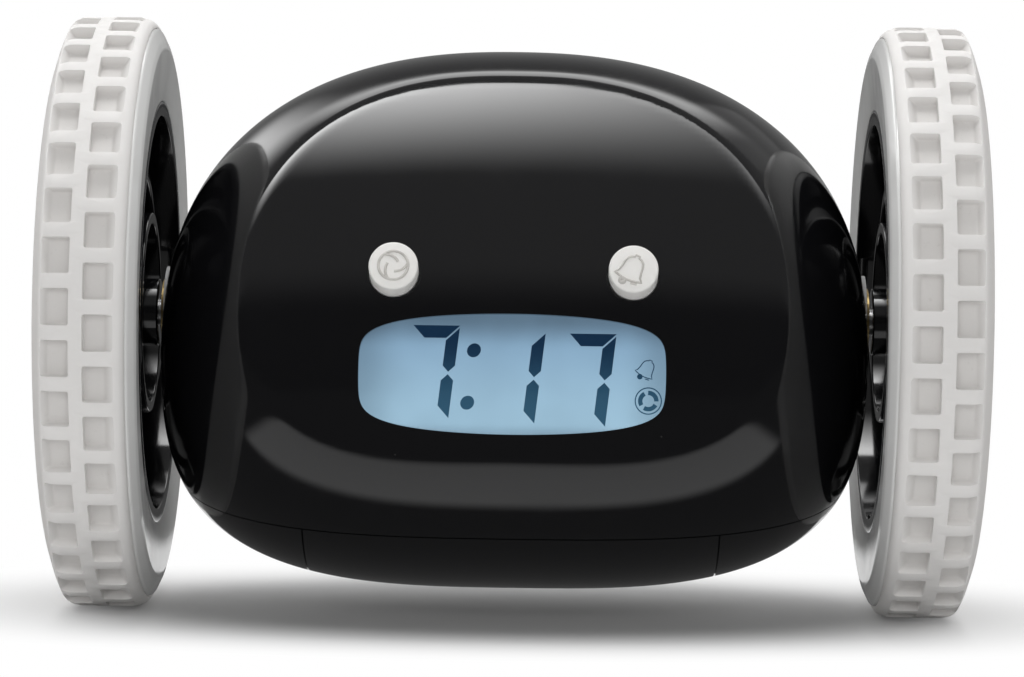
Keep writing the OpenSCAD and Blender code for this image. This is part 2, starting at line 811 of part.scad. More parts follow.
gear_x = plate_x + plate_t + 0.8;
cover_x = gear_x + 3 * stage + 0.5;
neck_end = half_w - 0.4;
bush_l = 6;
bush_r = 4;
axle_r = axle_d / 2;
pin_r = pin_d / 2;

function centre_distance(n1, n2) = gear_m * (n1 + n2) / 2;
function toward(a, d) = d * [cos(a), sin(a)];

second_at = toward(second_a, centre_distance(low_n, axle_n));
first_at = second_at + toward(first_a, centre_distance(pinion_n, wheel_n));
motor_at = first_at + toward(motor_a, centre_distance(pinion_n, wheel_n));

function involute(a) = tan(a) * 180 / PI - a;

// Half the angle of a tooth at radius r, the flank straight below the base circle
function tooth_half(r, n) =
    let (rp = gear_m * n / 2, rb = rp * cos(press_a), a = r > rb ? acos(rb / r) : 0)
    90 / n - flank_play / rp * 180 / PI + involute(press_a) - involute(a);

// Outline of a spur gear with a tooth pointing along angle a
module gear_outline(n, a) {
    rp = gear_m * n / 2;
    root = rp - dedendum * gear_m;
    base = rp * cos(press_a);
    radii = base > root ? [root, base, rp, rp + addendum * gear_m] : [root, rp, rp + addendum * gear_m];
    m = len(radii);
    polygon([
        for (i = [0:n - 1])
            for (k = [0:2 * m - 1])
                let (r = radii[k < m ? k : 2 * m - 1 - k], c = a + 360 * i / n)
                r * [cos(c + (k < m ? -1 : 1) * tooth_half(r, n)), sin(c + (k < m ? -1 : 1) * tooth_half(r, n))]
    ]);
}

// Phase of the driven gear that puts one of its gaps on the line of centres
function gap_phase(a, n) = a + 180 + 180 / n;

module spur(n, a, x0, x1, at) translate([0, at[0], at[1]]) slab(x0, x1) gear_outline(n, a);

module motor() color(steel) from_axle() {
    x0 = plate_x - motor_l;
    intersection() {
        rod(x0, plate_x - touch, motor_d / 2, motor_at);
        translate([x0, motor_at[0] - motor_d, motor_at[1] - motor_d * 0.4])
            cube([motor_l, 2 * motor_d, motor_d * 0.8]);
    }
    difference() {
        rod(plate_x - 1, plate_x + 1.2, 3, motor_at);
        rod(plate_x - 2, plate_x + 3, motor_shaft_d / 2 + running, motor_at);
    }
}

clamp_t = 1.2;
clamp_foot = 2.6;

// Straps that hold the motors down in their inner saddles
module motor_clamps() color(steel) from_axle()
    for (side = [0, 1])
        mirror([side, 0, 0]) {
            x0 = plate_x - motor_l + saddle_in;
            difference() {
                rod(x0, x0 + saddle_w, motor_d / 2 + 0.15 + clamp_t, motor_at);
                rod(x0 - 1, x0 + saddle_w + 1, motor_d / 2 + 0.15, motor_at);
                translate([x0 - 1, motor_at[0] - motor_d, motor_at[1] - motor_d + touch])
                    cube([saddle_w + 2, 2 * motor_d, motor_d]);
            }
            for (sy = [-1, 1])
                translate([x0, motor_at[0] + sy * (motor_d / 2 + clamp_foot / 2 + 1.2) - clamp_foot / 2,
                           motor_at[1] + touch])
                    cube([saddle_w, clamp_foot, clamp_t]);
        }

module pinion() color("#c8a860") from_axle() {
    rod(plate_x - touch + 0.1, gear_x + stage - 0.2, motor_shaft_d / 2, motor_at);
    difference() {
        spur(pinion_n, motor_a + 180, gear_x - 0.4, gear_x + stage - 0.4, motor_at);
        rod(gear_x - 1, gear_x + stage, motor_shaft_d / 2 - 0.2, motor_at);
    }
}

// A gear wheel of n teeth with a dished face
module gear_wheel(n, a, x, w, at) difference() {
    spur(n, a, x, x + w, at);
    translate([x - 1, at[0], at[1]]) rotate([0, 90, 0]) difference() {
        cylinder(h = 1 + 0.35 * w, r = gear_m * n / 2 - 1.8);
        translate([0, 0, -1]) cylinder(h = w + 2, r = 3.2);
    }
}

// Wheel and pinion in one moulding, turning on a pin
module compound(n_wheel, a_wheel, n_small, a_small, x, x_end, at) difference() {
    union() {
        gear_wheel(n_wheel, a_wheel, x, gear_w, at);
        spur(n_small, a_small, x + gear_w - 0.2, x_end, at);
    }
    rod(x - 1, x_end + 1, pin_r + running, at);
}

module first_gear() color(nylon) from_axle()
    compound(wheel_n, gap_phase(motor_a + 180, wheel_n), pinion_n, first_a + 180,
             gear_x, gear_x + stage + gear_w + 0.3, first_at);

module second_gear() color(nylon) from_axle()
    compound(wheel_n, gap_phase(first_a + 180, wheel_n), low_n, second_a + 180,
             gear_x + stage, gear_x + 2 * stage + gear_w + 0.9, second_at);

module axle_gear() color(nylon) from_axle() difference() {
    gear_wheel(axle_n, gap_phase(second_a + 180, axle_n), gear_x + 2 * stage, gear_w + 0.7, [0, 0]);
    rod(gear_x, cover_x, axle_r + touch);
}

module box_outline(grow) hull() {
    circle(r = gear_m * axle_n / 2 + 0.5 + box_play + grow);
    for (at = [second_at, first_at])
        translate(at) circle(r = gear_m * wheel_n / 2 + 0.5 + box_play + grow);
    translate(motor_at) circle(r = gear_m * pinion_n / 2 + 0.5 + box_play + grow);
}

module pin_holes(x0, x1)
    for (at = [first_at, second_at]) rod(x0, x1, pin_r + touch, at);

module gearbox_case() color("#d8d8d4") from_axle() difference() {
    union() {
        slab(plate_x, cover_x) box_outline(box_wall);
        translate([plate_x, tab_at[0] - 8, tab_at[1] - 3]) cube([plate_t, 10.5, 6]);
    }
    slab(plate_x + plate_t, cover_x + 1) box_outline(0);
    pin_holes(plate_x - 1, plate_x + plate_t + 1);
    rod(plate_x - 1, plate_x + plate_t + 1, axle_r + running);
    rod(plate_x - 1, plate_x + plate_t + 1, 3 + touch, motor_at);
    rod(plate_x - 1, plate_x + plate_t + 1, pilot_r + 0.2, tab_at);
}

module gearbox_cover() color("#d8d8d4") from_axle() difference() {
    union() {
        slab(cover_x + touch, cover_x + plate_t) box_outline(box_wall);
        rod(cover_x + plate_t / 2, neck_end, neck_r);
    }
    pin_holes(cover_x - 1, cover_x + plate_t - 0.4);
    rod(cover_x - 1, neck_end - bush_l, axle_r + 0.6);
    rod(neck_end - bush_l, neck_end + 1, bush_r + touch);
}

module gear_pins() color(steel) from_axle()
    for (at = [first_at, second_at]) rod(plate_x + 0.3, cover_x + plate_t - 0.6, pin_r, at);

module bush() color("#b08d57") from_axle() difference() {
    union() {
        rod(neck_end - bush_l + touch, neck_end + 0.5, bush_r);
        rod(neck_end + touch, neck_end + 0.5, bush_r + 1);
    }
    rod(neck_end - bush_l - 1, neck_end + 2, axle_r + running);
}

module axle() color(steel) from_axle() rod(plate_x + 0.2, hub_in + 9.4, axle_r);

// ---------- Wheels, drawn for the right side ----------

tyre_in = out_x - tyre_w;
lip_x = tyre_in - rim_lip;
hub_in = lip_x + 0.5;
hub_out = out_x - 0.8;
web_x = (hub_in + hub_out) / 2 - 0.5;
bed_r = wheel_r - tyre_t;
flange_r = wheel_r - 1.65;
lip_r = wheel_r - 4.5;
hook_r = 36.6;
core_r = 13.3;
hub_boss_r = 5;

module swirl_rib(x0, x1, a) {
    near = hub_ring_r + 0.2 - hub_web_t / 2;
    rotate([a, 0, 0]) slab(x0, x1) intersection() {
        translate([near - swirl_r, 0]) difference() {
            circle(r = swirl_r + hub_web_t / 2);
            circle(r = swirl_r - hub_web_t / 2);
        }
        difference() {
            circle(r = hub_r - hub_band_t / 2);
            circle(r = core_r + 0.3);
        }
        translate([-hub_r, 0]) square([2 * hub_r, hub_r]);
    }
}

module hub() color(black) from_axle() union() {
    turned() polygon([
        [axle_r + touch, hub_in + 0.1], [hub_boss_r, hub_in + 0.1], [hub_boss_r, web_x - 1.4],
        [core_r, web_x - 1.4], [core_r, hub_in + 1.3], [hub_ring_r, hub_in + 1.3],
        [hub_ring_r, web_x], [hub_r - hub_band_t, web_x], [hub_r - hub_band_t, hub_in],
        [hub_r, hub_in], [hub_r, hub_out], [hub_r - hub_band_t, hub_out],
        [hub_r - hub_band_t, web_x + hub_web_t], [hub_ring_r, web_x + hub_web_t],
        [hub_ring_r, hub_out - 1], [core_r, hub_out - 1], [core_r, web_x + 0.2],
        [hub_boss_r, web_x + 0.2], [hub_boss_r, hub_in + 10], [axle_r + touch, hub_in + 10]
    ]);
    for (k = [0:swirl_count - 1]) swirl_rib(hub_in + 1.6, hub_out - 1.3, 360 * k / swirl_count + 30);
}

module hub_cap() color(black) from_axle() turned() polygon([
    [0, hub_out - 0.5], [core_r - 2.6, hub_out - 0.7], [core_r - touch, hub_out - 1.4],
    [core_r - touch, hub_out - 5], [core_r - 1.2, hub_out - 5], [core_r - 1.2, hub_out - 2.6],
    [0, hub_out - 2.2]
]);

module rim() color("#f2f2f0") from_axle() turned() polygon([
    [hub_r + touch, hub_in], [lip_r - 1.2, lip_x + 0.06], [lip_r, lip_x + 0.03], [lip_r + 1, lip_x + 0.25],
    [flange_r - 0.25, tyre_in - 0.2], [flange_r, tyre_in + 0.05], [flange_r, tyre_in + 1.25],
    [bed_r, tyre_in + 1.25], [bed_r, out_x - 1.65], [hook_r - touch, out_x - 1.65],
    [hook_r - touch, hub_out], [hub_r + touch, hub_out], [hub_r + touch, hub_out - rim_t],
    [hook_r - rim_t, hub_out - rim_t], [bed_r - rim_t, out_x - 1.65 - rim_t],
    [bed_r - rim_t, tyre_in + 1.25 + rim_t], [lip_r - 2, hub_in + rim_t], [hub_r + touch, hub_in + rim_t]
]);

module tread_row(x, offset)
    for (k = [0:tread_count - 1])
        rotate([360 * (k + offset) / tread_count, 0, 0])
            translate([x, -recess_l / 2, wheel_r - recess_d]) cube([recess_w, recess_l, 4]);

module tyre() color(white) from_axle() difference() {
    turned() polygon([
        [flange_r + touch, tyre_in], [wheel_r - 0.8, tyre_in + 0.8], [wheel_r - 0.2, tyre_in + 1.5],
        [wheel_r, tyre_in + 2.2], [wheel_r, out_x - 2.8], [wheel_r - 0.3, out_x - 2],
        [wheel_r - 2.1, out_x - 1.1], [wheel_r - 4.8, out_x - 0.15], [wheel_r - 5.6, out_x],
        [hook_r + 0.4, out_x], [hook_r, out_x - 0.4], [hook_r, out_x - 1.63],
        [bed_r + touch, out_x - 1.63], [bed_r + touch, tyre_in + 1.27], [flange_r + touch, tyre_in + 1.27]
    ]);
    tread_mid = (tyre_in + out_x) / 2 + 0.1;
    tread_row(tread_mid + tread_rib_w / 2, 0);
    tread_row(tread_mid - tread_rib_w / 2 - recess_w, 0.5);
}

top_shell();
base_shell();
battery_door();
door_screw();
shell_screws();
display_lens();
display_frame();
lcd_panel();
lcd_digits();
light_guide();
main_board();
controller_chip();
face_switches();
run_button();
alarm_button();
key_board();
key_switches();
time_key();
hour_key();
minute_key();
alarm_key();
snooze_key();
inner_screws();
speaker_frame();
speaker_cone();
speaker_magnet();
chassis();
battery_cells();
contact_springs();
contact_plates();
motor_clamps();
mirrored() motor();  // left_motor
mirrored() pinion();  // left_pinion
mirrored() gearbox_case();  // left_gearbox_case
mirrored() gearbox_cover();  // left_gearbox_cover
mirrored() gear_pins();  // left_gear_pins
mirrored() first_gear();  // left_first_gear
mirrored() second_gear();  // left_second_gear
mirrored() axle_gear();  // left_axle_gear
mirrored() axle();  // left_axle
mirrored() bush();  // left_bush
mirrored() hub();  // left_hub
mirrored() hub_cap();  // left_hub_cap
mirrored() rim();  // left_rim
mirrored() tyre();  // left_tyre
motor();  // right_motor
pinion();  // right_pinion
gearbox_case();  // right_gearbox_case
gearbox_cover();  // right_gearbox_cover
gear_pins();  // right_gear_pins
first_gear();  // right_first_gear
second_gear();  // right_second_gear
axle_gear();  // right_axle_gear
axle();  // right_axle
bush();  // right_bush
hub();  // right_hub
hub_cap();  // right_hub_cap
rim();  // right_rim
tyre();  // right_tyre
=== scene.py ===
# %% [markdown]
# A runaway alarm clock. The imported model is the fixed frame: every node already lies in its
# place, in metres, with the floor at height zero and the axle along X. This lesson dresses it:
# first the frame and the camera, then each piece that shows, then the finishes and the light.

# %% Load the frame
import json
import math

import bpy
from mathutils import Matrix, Vector


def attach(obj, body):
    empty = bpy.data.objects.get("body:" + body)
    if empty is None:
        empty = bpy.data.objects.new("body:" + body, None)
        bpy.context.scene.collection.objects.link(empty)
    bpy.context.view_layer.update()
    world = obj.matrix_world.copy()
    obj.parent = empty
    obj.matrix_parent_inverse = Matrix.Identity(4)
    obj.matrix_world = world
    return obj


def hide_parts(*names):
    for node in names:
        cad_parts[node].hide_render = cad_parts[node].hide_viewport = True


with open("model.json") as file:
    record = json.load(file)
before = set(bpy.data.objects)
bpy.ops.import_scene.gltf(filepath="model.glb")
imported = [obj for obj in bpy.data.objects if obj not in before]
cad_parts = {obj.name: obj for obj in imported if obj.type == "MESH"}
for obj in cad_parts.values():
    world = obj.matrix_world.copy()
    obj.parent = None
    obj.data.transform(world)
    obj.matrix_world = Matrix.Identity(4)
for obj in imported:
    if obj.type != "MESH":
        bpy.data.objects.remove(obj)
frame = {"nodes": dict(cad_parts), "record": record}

bpy.context.scene.view_settings.view_transform = "Standard"
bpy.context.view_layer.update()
MM = 0.001

# %% [markdown]
# The photograph looks at the face almost square on, from about 0.6 m, a few degrees
# above the axle and a little to the right of the middle. The picture is turned by a degree.

# %% Camera
AXLE_Z = 44.0
camera_distance = 590.0
camera_right = 0.58
camera_above = 4.3
camera_roll = 0.77
camera_target = Vector((-0.43, 0.0, 40.79)) * MM
focal_pixels = 3939.0
PICTURE_W, SENSOR_W = 1024, 36.0


def add_camera():
    az, el = math.radians(camera_right), math.radians(camera_above)
    away = Vector((math.sin(az) * math.cos(el), -math.cos(az) * math.cos(el), math.sin(el)))
    data = bpy.data.cameras.new("camera")
    data.sensor_width = SENSOR_W
    data.lens = focal_pixels / PICTURE_W * SENSOR_W
    data.clip_start = 0.01
    data.clip_end = 20
    cam = bpy.data.objects.new("camera", data)
    bpy.context.scene.collection.objects.link(cam)
    turn = away.to_track_quat("Z", "Y").to_matrix().to_4x4()
    roll = Matrix.Rotation(math.radians(camera_roll), 4, "Z")
    cam.matrix_world = Matrix.Translation(camera_target + away * camera_distance * MM) @ turn @ roll
    bpy.context.scene.camera = cam
    return cam


camera = add_camera()
print("camera lens:", round(camera.data.lens, 1), "mm")

# %% [markdown]
# Each operator acts on whatever is selected, so a few small helpers keep the bench tidy:
# one clears the selection, one applies a modifier, one cuts a piece with another, one eases
# its sharp edges and one smooths its shading.

# %% Bench helpers
def deselect():
    if bpy.context.object and bpy.context.object.mode != "OBJECT":
        bpy.ops.object.mode_set(mode="OBJECT")
    bpy.ops.object.select_all(action="DESELECT")


def pick(piece):
    deselect()
    piece.select_set(True)
    bpy.context.view_layer.objects.active = piece
    return piece


def named(name):
    piece = bpy.context.object
    piece.name = name
    piece.data.name = name
    return piece


def apply_place(piece):
    pick(piece)
    bpy.ops.object.transform_apply(location=True, rotation=True, scale=True)
    return piece


def modify(piece, kind, **settings):
    pick(piece)
    modifier = piece.modifiers.new(kind.lower(), kind)
    for key, value in settings.items():
        setattr(modifier, key, value)
    bpy.ops.object.modifier_apply(modifier=modifier.name)
    return piece


def copy_of(piece, name):
    twin = piece.copy()
    twin.data = piece.data.copy()
    twin.name = name
    twin.data.name = name
    bpy.context.scene.collection.objects.link(twin)
    return twin


def joined(pieces, name):
    deselect()
    for piece in pieces:
        piece.select_set(True)
    bpy.context.view_layer.objects.active = pieces[0]
    bpy.ops.object.join()
    return named(name)


def drop(piece):
    bpy.data.objects.remove(piece)


def cut(piece, tool, operation="DIFFERENCE"):
    modify(piece, "BOOLEAN", object=tool, operation=operation, solver="MANIFOLD")
    drop(tool)
    return piece


def ease_edges(piece, width):
    """Bevels every edge that is sharper than a mould's."""
    return modify(piece, "BEVEL", width=width * MM, segments=2, limit_method="ANGLE",
                  angle_limit=math.radians(50))


def smooth(piece, degrees=35):
    pick(piece)
    bpy.ops.object.shade_smooth_by_angle(angle=math.radians(degrees))
    return piece


def faces_count(piece):
    return len(piece.data.polygons)


# %% [markdown]
# The body is one closed form. Its widest points, the cheeks, lie on one line along X. At
# every angle round that line the outline runs from cheek to cheek as a squarish curve, and
# a shallow dome, tilted back, cuts the front off it and leaves the soft crease round the face.

# %% The form of the body
HALF_W = 52.5
MID_R, MID_Y, MID_Z = 40.0, -0.5, -0.4
CHEEK_Z = -5.0
ROUND_TOP, ROUND_LOW = 2.35, 3.1
FACE_TILT = math.radians(21)
FACE_H, FACE_V, FACE_RV, FACE_RU = 34.6, 0.5, 62.0, 240.0
CREASE_SOFT = 0.12
WALL = 2.0
FAR = 200.0


def mid_reach(a, t):
    """How far the middle outline stands from the cheeks' line, at the angle a."""
    dz = CHEEK_Z - MID_Z
    k = -MID_Y * math.cos(a) + dz * math.sin(a)
    return -k + math.sqrt(k * k - MID_Y**2 - dz**2 + (MID_R - t) ** 2)


def taper(x, a, t):
    """The share of that reach which is left at x. The curve is squarer below than above."""
    n = ROUND_TOP + (ROUND_LOW - ROUND_TOP) * (1 - math.sin(a)) / 2
    return max(0.0, 1 - (abs(x) / (HALF_W - t)) ** n) ** (1 / n)


def dome_reach(x, a, t):
    """How far the face's dome stands from the same line, or FAR where it isn't in the way."""
    tau = FACE_TILT
    dn = -math.cos(a) * math.cos(tau) + math.sin(a) * math.sin(tau)
    dv = math.cos(a) * math.sin(tau) + math.sin(a) * math.cos(tau)
    if dn < 0.15:
        return FAR
    pn = CHEEK_Z * math.sin(tau)
    pv = CHEEK_Z * math.cos(tau) - FACE_V
    qa = dv * dv / (2 * FACE_RV)
    qb = dn + pv * dv / FACE_RV
    qc = pn + x * x / (2 * FACE_RU) + pv * pv / (2 * FACE_RV) - FACE_H + t
    disc = qb * qb - 4 * qa * qc
    if disc < 0:
        return FAR
    return (-qb + math.sqrt(disc)) / (2 * qa) if qa > 1e-6 else -qc / qb


def soft_min(p, q):
    """The lesser of two reaches, with a short soft step where they cross."""
    h = max(0.0, 1 - abs(p - q) / (4 * CREASE_SOFT))
    return min(p, q) - h * h * CREASE_SOFT


def form_point(direction, t=0.0):
    """Where a point of a unit ball goes on the body's form, t mm inside its surface."""
    x = (HALF_W - t) * direction.x
    a = math.atan2(direction.z, direction.y)
    r = soft_min(mid_reach(a, t) * taper(x, a, t), dome_reach(x, a, t))
    if abs(direction.x) > 0.999999:
        r = 0.0
    return Vector((x, r * math.cos(a), AXLE_Z + CHEEK_Z + r * math.sin(a))) * MM


def form_ball(name, spokes, rings, inset=0.0):
    deselect()
    bpy.ops.mesh.primitive_uv_sphere_add(segments=spokes, ring_count=rings,
                                         rotation=(0, math.pi / 2, 0))
    ball = apply_place(named(name))
    for v in ball.data.vertices:
        v.co = form_point(v.co.normalized(), inset)
    return ball


shell_spokes, shell_rings = ((256, 180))
skin = form_ball("skin", shell_spokes, shell_rings)
shell = copy_of(skin, "shell")
modify(shell, "SOLIDIFY", thickness=WALL * MM, offset=-1)
print("body form:", faces_count(skin), "faces")

# %% [markdown]
# Everything set in the body is placed in one of three frames: the face's own tilted plane,
# the display's plane behind the window, or a line out of the back. Each is a matrix whose Z
# points out of the body.

# %% Places on the body
def turned_out(y, z, tilt_back, x=0.0, facing=-1):
    """A frame at (x, y, z) mm from the axle whose Z leans out of the body."""
    t = math.radians(tilt_back)
    out = Vector((0, facing * math.cos(t), math.sin(t)))
    up = Vector((0, -facing * math.sin(t), math.cos(t)))
    right = up.cross(out)
    m = Matrix((right, up, out)).transposed().to_4x4()
    m.translation = Vector((x, y, AXLE_Z + z)) * MM
    return m


def face_point(x, v):
    """The place from the axle, in y and z, of the face's point at x that is v mm up the face."""
    n = FACE_H - (v - FACE_V) ** 2 / (2 * FACE_RV) - x * x / (2 * FACE_RU)
    tau = FACE_TILT
    return (-n * math.cos(tau) + v * math.sin(tau), n * math.sin(tau) + v * math.cos(tau))


WINDOW_V, DISPLAY_TILT = -18.1, 8.0
window_y, window_z = face_point(0, WINDOW_V)
display_frame = turned_out(window_y, window_z, DISPLAY_TILT)
BUTTON_X, BUTTON_V, BUTTON_TILT = 16.9, -3.9, 21.0
button_frames = {
    side: turned_out(*face_point(side * BUTTON_X, BUTTON_V), BUTTON_TILT, side * BUTTON_X)
    for side in (-1, 1)
}


def back_frame(angle, x=0.0, height=0.0):
    """A frame on the line that leaves the back at an angle above level."""
    m = turned_out(0, 0, angle, x, facing=1)
    return m @ Matrix.Translation((0, 0, height * MM))


print("window centre:", round(window_y, 2), round(window_z, 2))

# %% [markdown]
# Holes are cut with closed tools. A round tool is a cylinder; the window's tool is a barrel:
# a rectangle whose sides all bulge and whose corners are full curves.

# %% Cutting tools
def round_tool(m, radius, z0, z1, sides=64):
    deselect()
    bpy.ops.mesh.primitive_cylinder_add(vertices=sides, radius=radius * MM, depth=(z1 - z0) * MM,
                                        location=(0, 0, (z0 + z1) / 2 * MM))
    tool = apply_place(named("tool"))
    tool.data.transform(m)
    return tool


def box_tool(low, high, m=None):
    deselect()
    size = [(b - a) * MM for a, b in zip(low, high)]
    centre = [(a + b) / 2 * MM for a, b in zip(low, high)]
    bpy.ops.mesh.primitive_cube_add(size=1, location=centre, scale=size)
    tool = apply_place(named("tool"))
    if m:
        tool.data.transform(m)
    return tool


SIDE_BULGE, END_BULGE, CORNER_POWER = 0.03, 0.2, 6


def barrel(w, h, steps=144):
    """A rectangle whose sides all bulge, with full corners, found by halving along each spoke."""
    def inside(x, y):
        side = x / (1 - SIDE_BULGE * y**2)
        end = y / (1 - END_BULGE * min(1, x**2))
        return side**CORNER_POWER + end**CORNER_POWER < 1

    outline = []
    for i in range(steps):
        c, s = math.cos(2 * math.pi * i / steps) * w / 2, math.sin(2 * math.pi * i / steps) * h / 2
        low, high = 0.0, 2.0
        for _ in range(24):
            k = (low + high) / 2
            low, high = (k, high) if inside(2 * k * c / w, 2 * k * s / h) else (low, k)
        outline.append((low * c, low * s))
    return outline


def prism_tool(outline, z0, z1, m):
    deselect()
    bpy.ops.mesh.primitive_circle_add(vertices=len(outline), fill_type="NGON")
    tool = named("tool")
    for v, (x, y) in zip(tool.data.vertices, outline):
        v.co = Vector((x, y, z0)) * MM
    bpy.ops.object.mode_set(mode="EDIT")
    bpy.ops.mesh.select_all(action="SELECT")
    bpy.ops.mesh.extrude_region_move(TRANSFORM_OT_translate={"value": (0, 0, (z1 - z0) * MM)})
    bpy.ops.mesh.select_all(action="SELECT")
    bpy.ops.mesh.normals_make_consistent(inside=False)
    bpy.ops.object.mode_set(mode="OBJECT")
    tool.data.transform(m)
    return tool


PARTING_Z, PARTING_TILT, GROOVE = -24.2, 12.0, 0.2
parting_lean = Matrix.Rotation(math.radians(PARTING_TILT), 4, "X")
parting_frame = Matrix.Translation((0, 0, (AXLE_Z + PARTING_Z) * MM)) @ parting_lean


def below_parting(d):
    return box_tool((-FAR, -FAR, -FAR), (FAR, FAR, d), parting_frame)


def above_parting(d):
    return box_tool((-FAR, -FAR, d), (FAR, FAR, FAR), parting_frame)


across = Matrix.Translation((0, 0, AXLE_Z * MM)) @ Matrix.Rotation(math.pi / 2, 4, "Y")

# %% [markdown]
# The upper shell carries the face and the back. One tool of many parts cuts it: the parting
# plane, the window, the holes of buttons, keys and axles, and the loudspeaker's grille.

# %% Upper shell
WINDOW_W, WINDOW_H = 43.4, 17.0
WINDOW_CUT, BUTTON_CUT = (-9.5, 12), (-4, 8)
BUTTON_R, KEY_R, SLIP = 3.5, 3.0, 0.2
NECK_HOLE_R, CHEEK_X = 7.2, 40
KEY_PITCH, KEY_CUT_AT, SPEAKER_CUT_AT, BACK_CUT = 12.0, 32, 33, 14
SPEAKER_A, GRILLE_R, GRILLE_HOLE_R, GRILLE_PITCH = 38.0, 11.0, 0.8, 3.0


def grille_spots():
    for i in range(-4, 5):
        for j in range(-4, 5):
            x = GRILLE_PITCH * (i + (abs(j) % 2) / 2)
            y = GRILLE_PITCH * j * math.sin(math.radians(60))
            if math.hypot(x, y) < GRILLE_R:
                yield x, y


def upper_shell_tool():
    tools = [below_parting(GROOVE / 2),
             prism_tool(barrel(WINDOW_W, WINDOW_H), *WINDOW_CUT, display_frame),
             round_tool(across, NECK_HOLE_R, -FAR, -CHEEK_X),
             round_tool(across, NECK_HOLE_R, CHEEK_X, FAR)]
    tools += [round_tool(button_frames[side], BUTTON_R + SLIP, *BUTTON_CUT) for side in (-1, 1)]
    tools += [round_tool(back_frame(0, i * KEY_PITCH, KEY_CUT_AT), KEY_R + SLIP, 0, BACK_CUT, 48)
              for i in range(-2, 3)]
    speaker = back_frame(SPEAKER_A, 0, SPEAKER_CUT_AT)
    for x, y in grille_spots():
        spot = speaker @ Matrix.Translation((x * MM, y * MM, 0))
        tools.append(round_tool(spot, GRILLE_HOLE_R, 0, BACK_CUT, 20))
    return joined(tools, "upper tool")


top_shell = cut(copy_of(shell, "body_top"), upper_shell_tool())
print("upper shell:", faces_count(top_shell), "faces")

# %% [markdown]
# The lower shell runs under the seam, and the battery door fills the opening in its middle.
# Strips of the shell's own form close the door's side seams from inside and carry its edges.
# Two screw bosses stand at the back. They are held inside the form, with wells for the heads.

# %% Lower shell and door
DOOR_W, DOOR_Y, DOOR_CLEAR, DOOR_TOP = 60.0, 27.0, 0.25, -25.2
SEAM_FIT, SEAM_D, SEAM_FLOOR_T = 0.03, 0.35, 2.6
REST_IN, REST_OUT, REST_T = DOOR_W / 2 - 1.2, DOOR_W / 2 + 1.4, 0.9
REST_FRONT, REST_BACK, REST_TOP = -35, 26, DOOR_TOP + 0.4
BOSS_X, BOSS_Y, BOSS_R, BOSS_INSET = 20.0, 32.5, 3.2, 0.6
BOSS_LOW, BOSS_TOP, WELL_R, WELL_TOP, WELL_LOW = -31, -20.2, 2.4, -21.4, -60
DOOR_SCREW_Y, DOOR_WELL_R, DOOR_WELL_TOP = 24.2, 2.2, -30.8


def axle_box(low, high):
    lift = Matrix.Translation((0, 0, AXLE_Z * MM))
    return box_tool(low, high, lift)


def upright_tool(x, y, radius, z0, z1):
    return round_tool(Matrix.Translation((x * MM, y * MM, AXLE_Z * MM)), radius, z0, z1, 48)


lower = cut(copy_of(shell, "lower"), above_parting(-GROOVE / 2))
base_shell = copy_of(lower, "body_base")
door_hole = axle_box((-DOOR_W / 2 - DOOR_CLEAR, -FAR, -FAR),
                     (DOOR_W / 2 + DOOR_CLEAR, DOOR_Y + DOOR_CLEAR, DOOR_TOP))
cut(base_shell, door_hole)


def door_rest(x0, x1, inset, thick):
    """Two strips of the form, inset mm inside the surface, from x0 to x1 either side."""
    rest = modify(form_ball("rest", 96, 72, inset), "SOLIDIFY", thickness=thick * MM, offset=-1)
    strips = []
    for side in (-1, 1):
        low, high = sorted((side * x0, side * x1))
        strips.append(axle_box((low, REST_FRONT, -FAR), (high, REST_BACK, REST_TOP)))
    return cut(rest, joined(strips, "strips"), "INTERSECT")


cut(base_shell, door_rest(DOOR_W / 2 + SEAM_FIT, REST_OUT, SEAM_D, SEAM_FLOOR_T), "UNION")
cut(base_shell, door_rest(REST_IN, REST_OUT, WALL + SEAM_D, REST_T), "UNION")
for side in (-1, 1):
    boss = upright_tool(side * BOSS_X, BOSS_Y, BOSS_R, BOSS_LOW, BOSS_TOP)
    cut(boss, form_ball("boss_limit", 120, 80, BOSS_INSET), "INTERSECT")
    cut(base_shell, boss, "UNION")
    cut(base_shell, upright_tool(side * BOSS_X, BOSS_Y, WELL_R, WELL_LOW, WELL_TOP))
door_block = axle_box((-DOOR_W / 2, -FAR, -FAR), (DOOR_W / 2, DOOR_Y, DOOR_TOP))
door = cut(lower, door_block, "INTERSECT")
cut(door, upright_tool(0, DOOR_SCREW_Y, DOOR_WELL_R, WELL_LOW, DOOR_WELL_TOP))
door.name = door.data.name = "battery_cover"
print("lower shell:", faces_count(base_shell), "door:", faces_count(door))

# %% [markdown]
# The window is a slice of the same form, cut by the same barrel a hair smaller, so its face
# runs on from the shell's. With it the body's pieces are done and are given to their bodies.

# %% Window lens
LENS_CLEAR = 0.15
lens = copy_of(shell, "window_lens")
lens_outline = barrel(WINDOW_W - 2 * LENS_CLEAR, WINDOW_H - 2 * LENS_CLEAR)
cut(lens, prism_tool(lens_outline, *WINDOW_CUT, display_frame), "INTERSECT")
print("lens:", faces_count(lens))
drop(skin)
drop(shell)

for piece, nodes in ((top_shell, "top_shell"), (base_shell, "base_shell"),
                     (lens, "display_lens")):
    smooth(piece)
    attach(piece, "body")
    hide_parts(nodes)
smooth(door)
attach(door, "battery_door")
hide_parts("battery_door")

# %% [markdown]
# Each wheel is a white rim with a soft tyre stretched over it and a black dished hub in its
# middle. All three are turned forms, so each starts as a ring of points, the cross-section,
# that is spun round the axle. The corners of the section are eased first, as a mould's are.

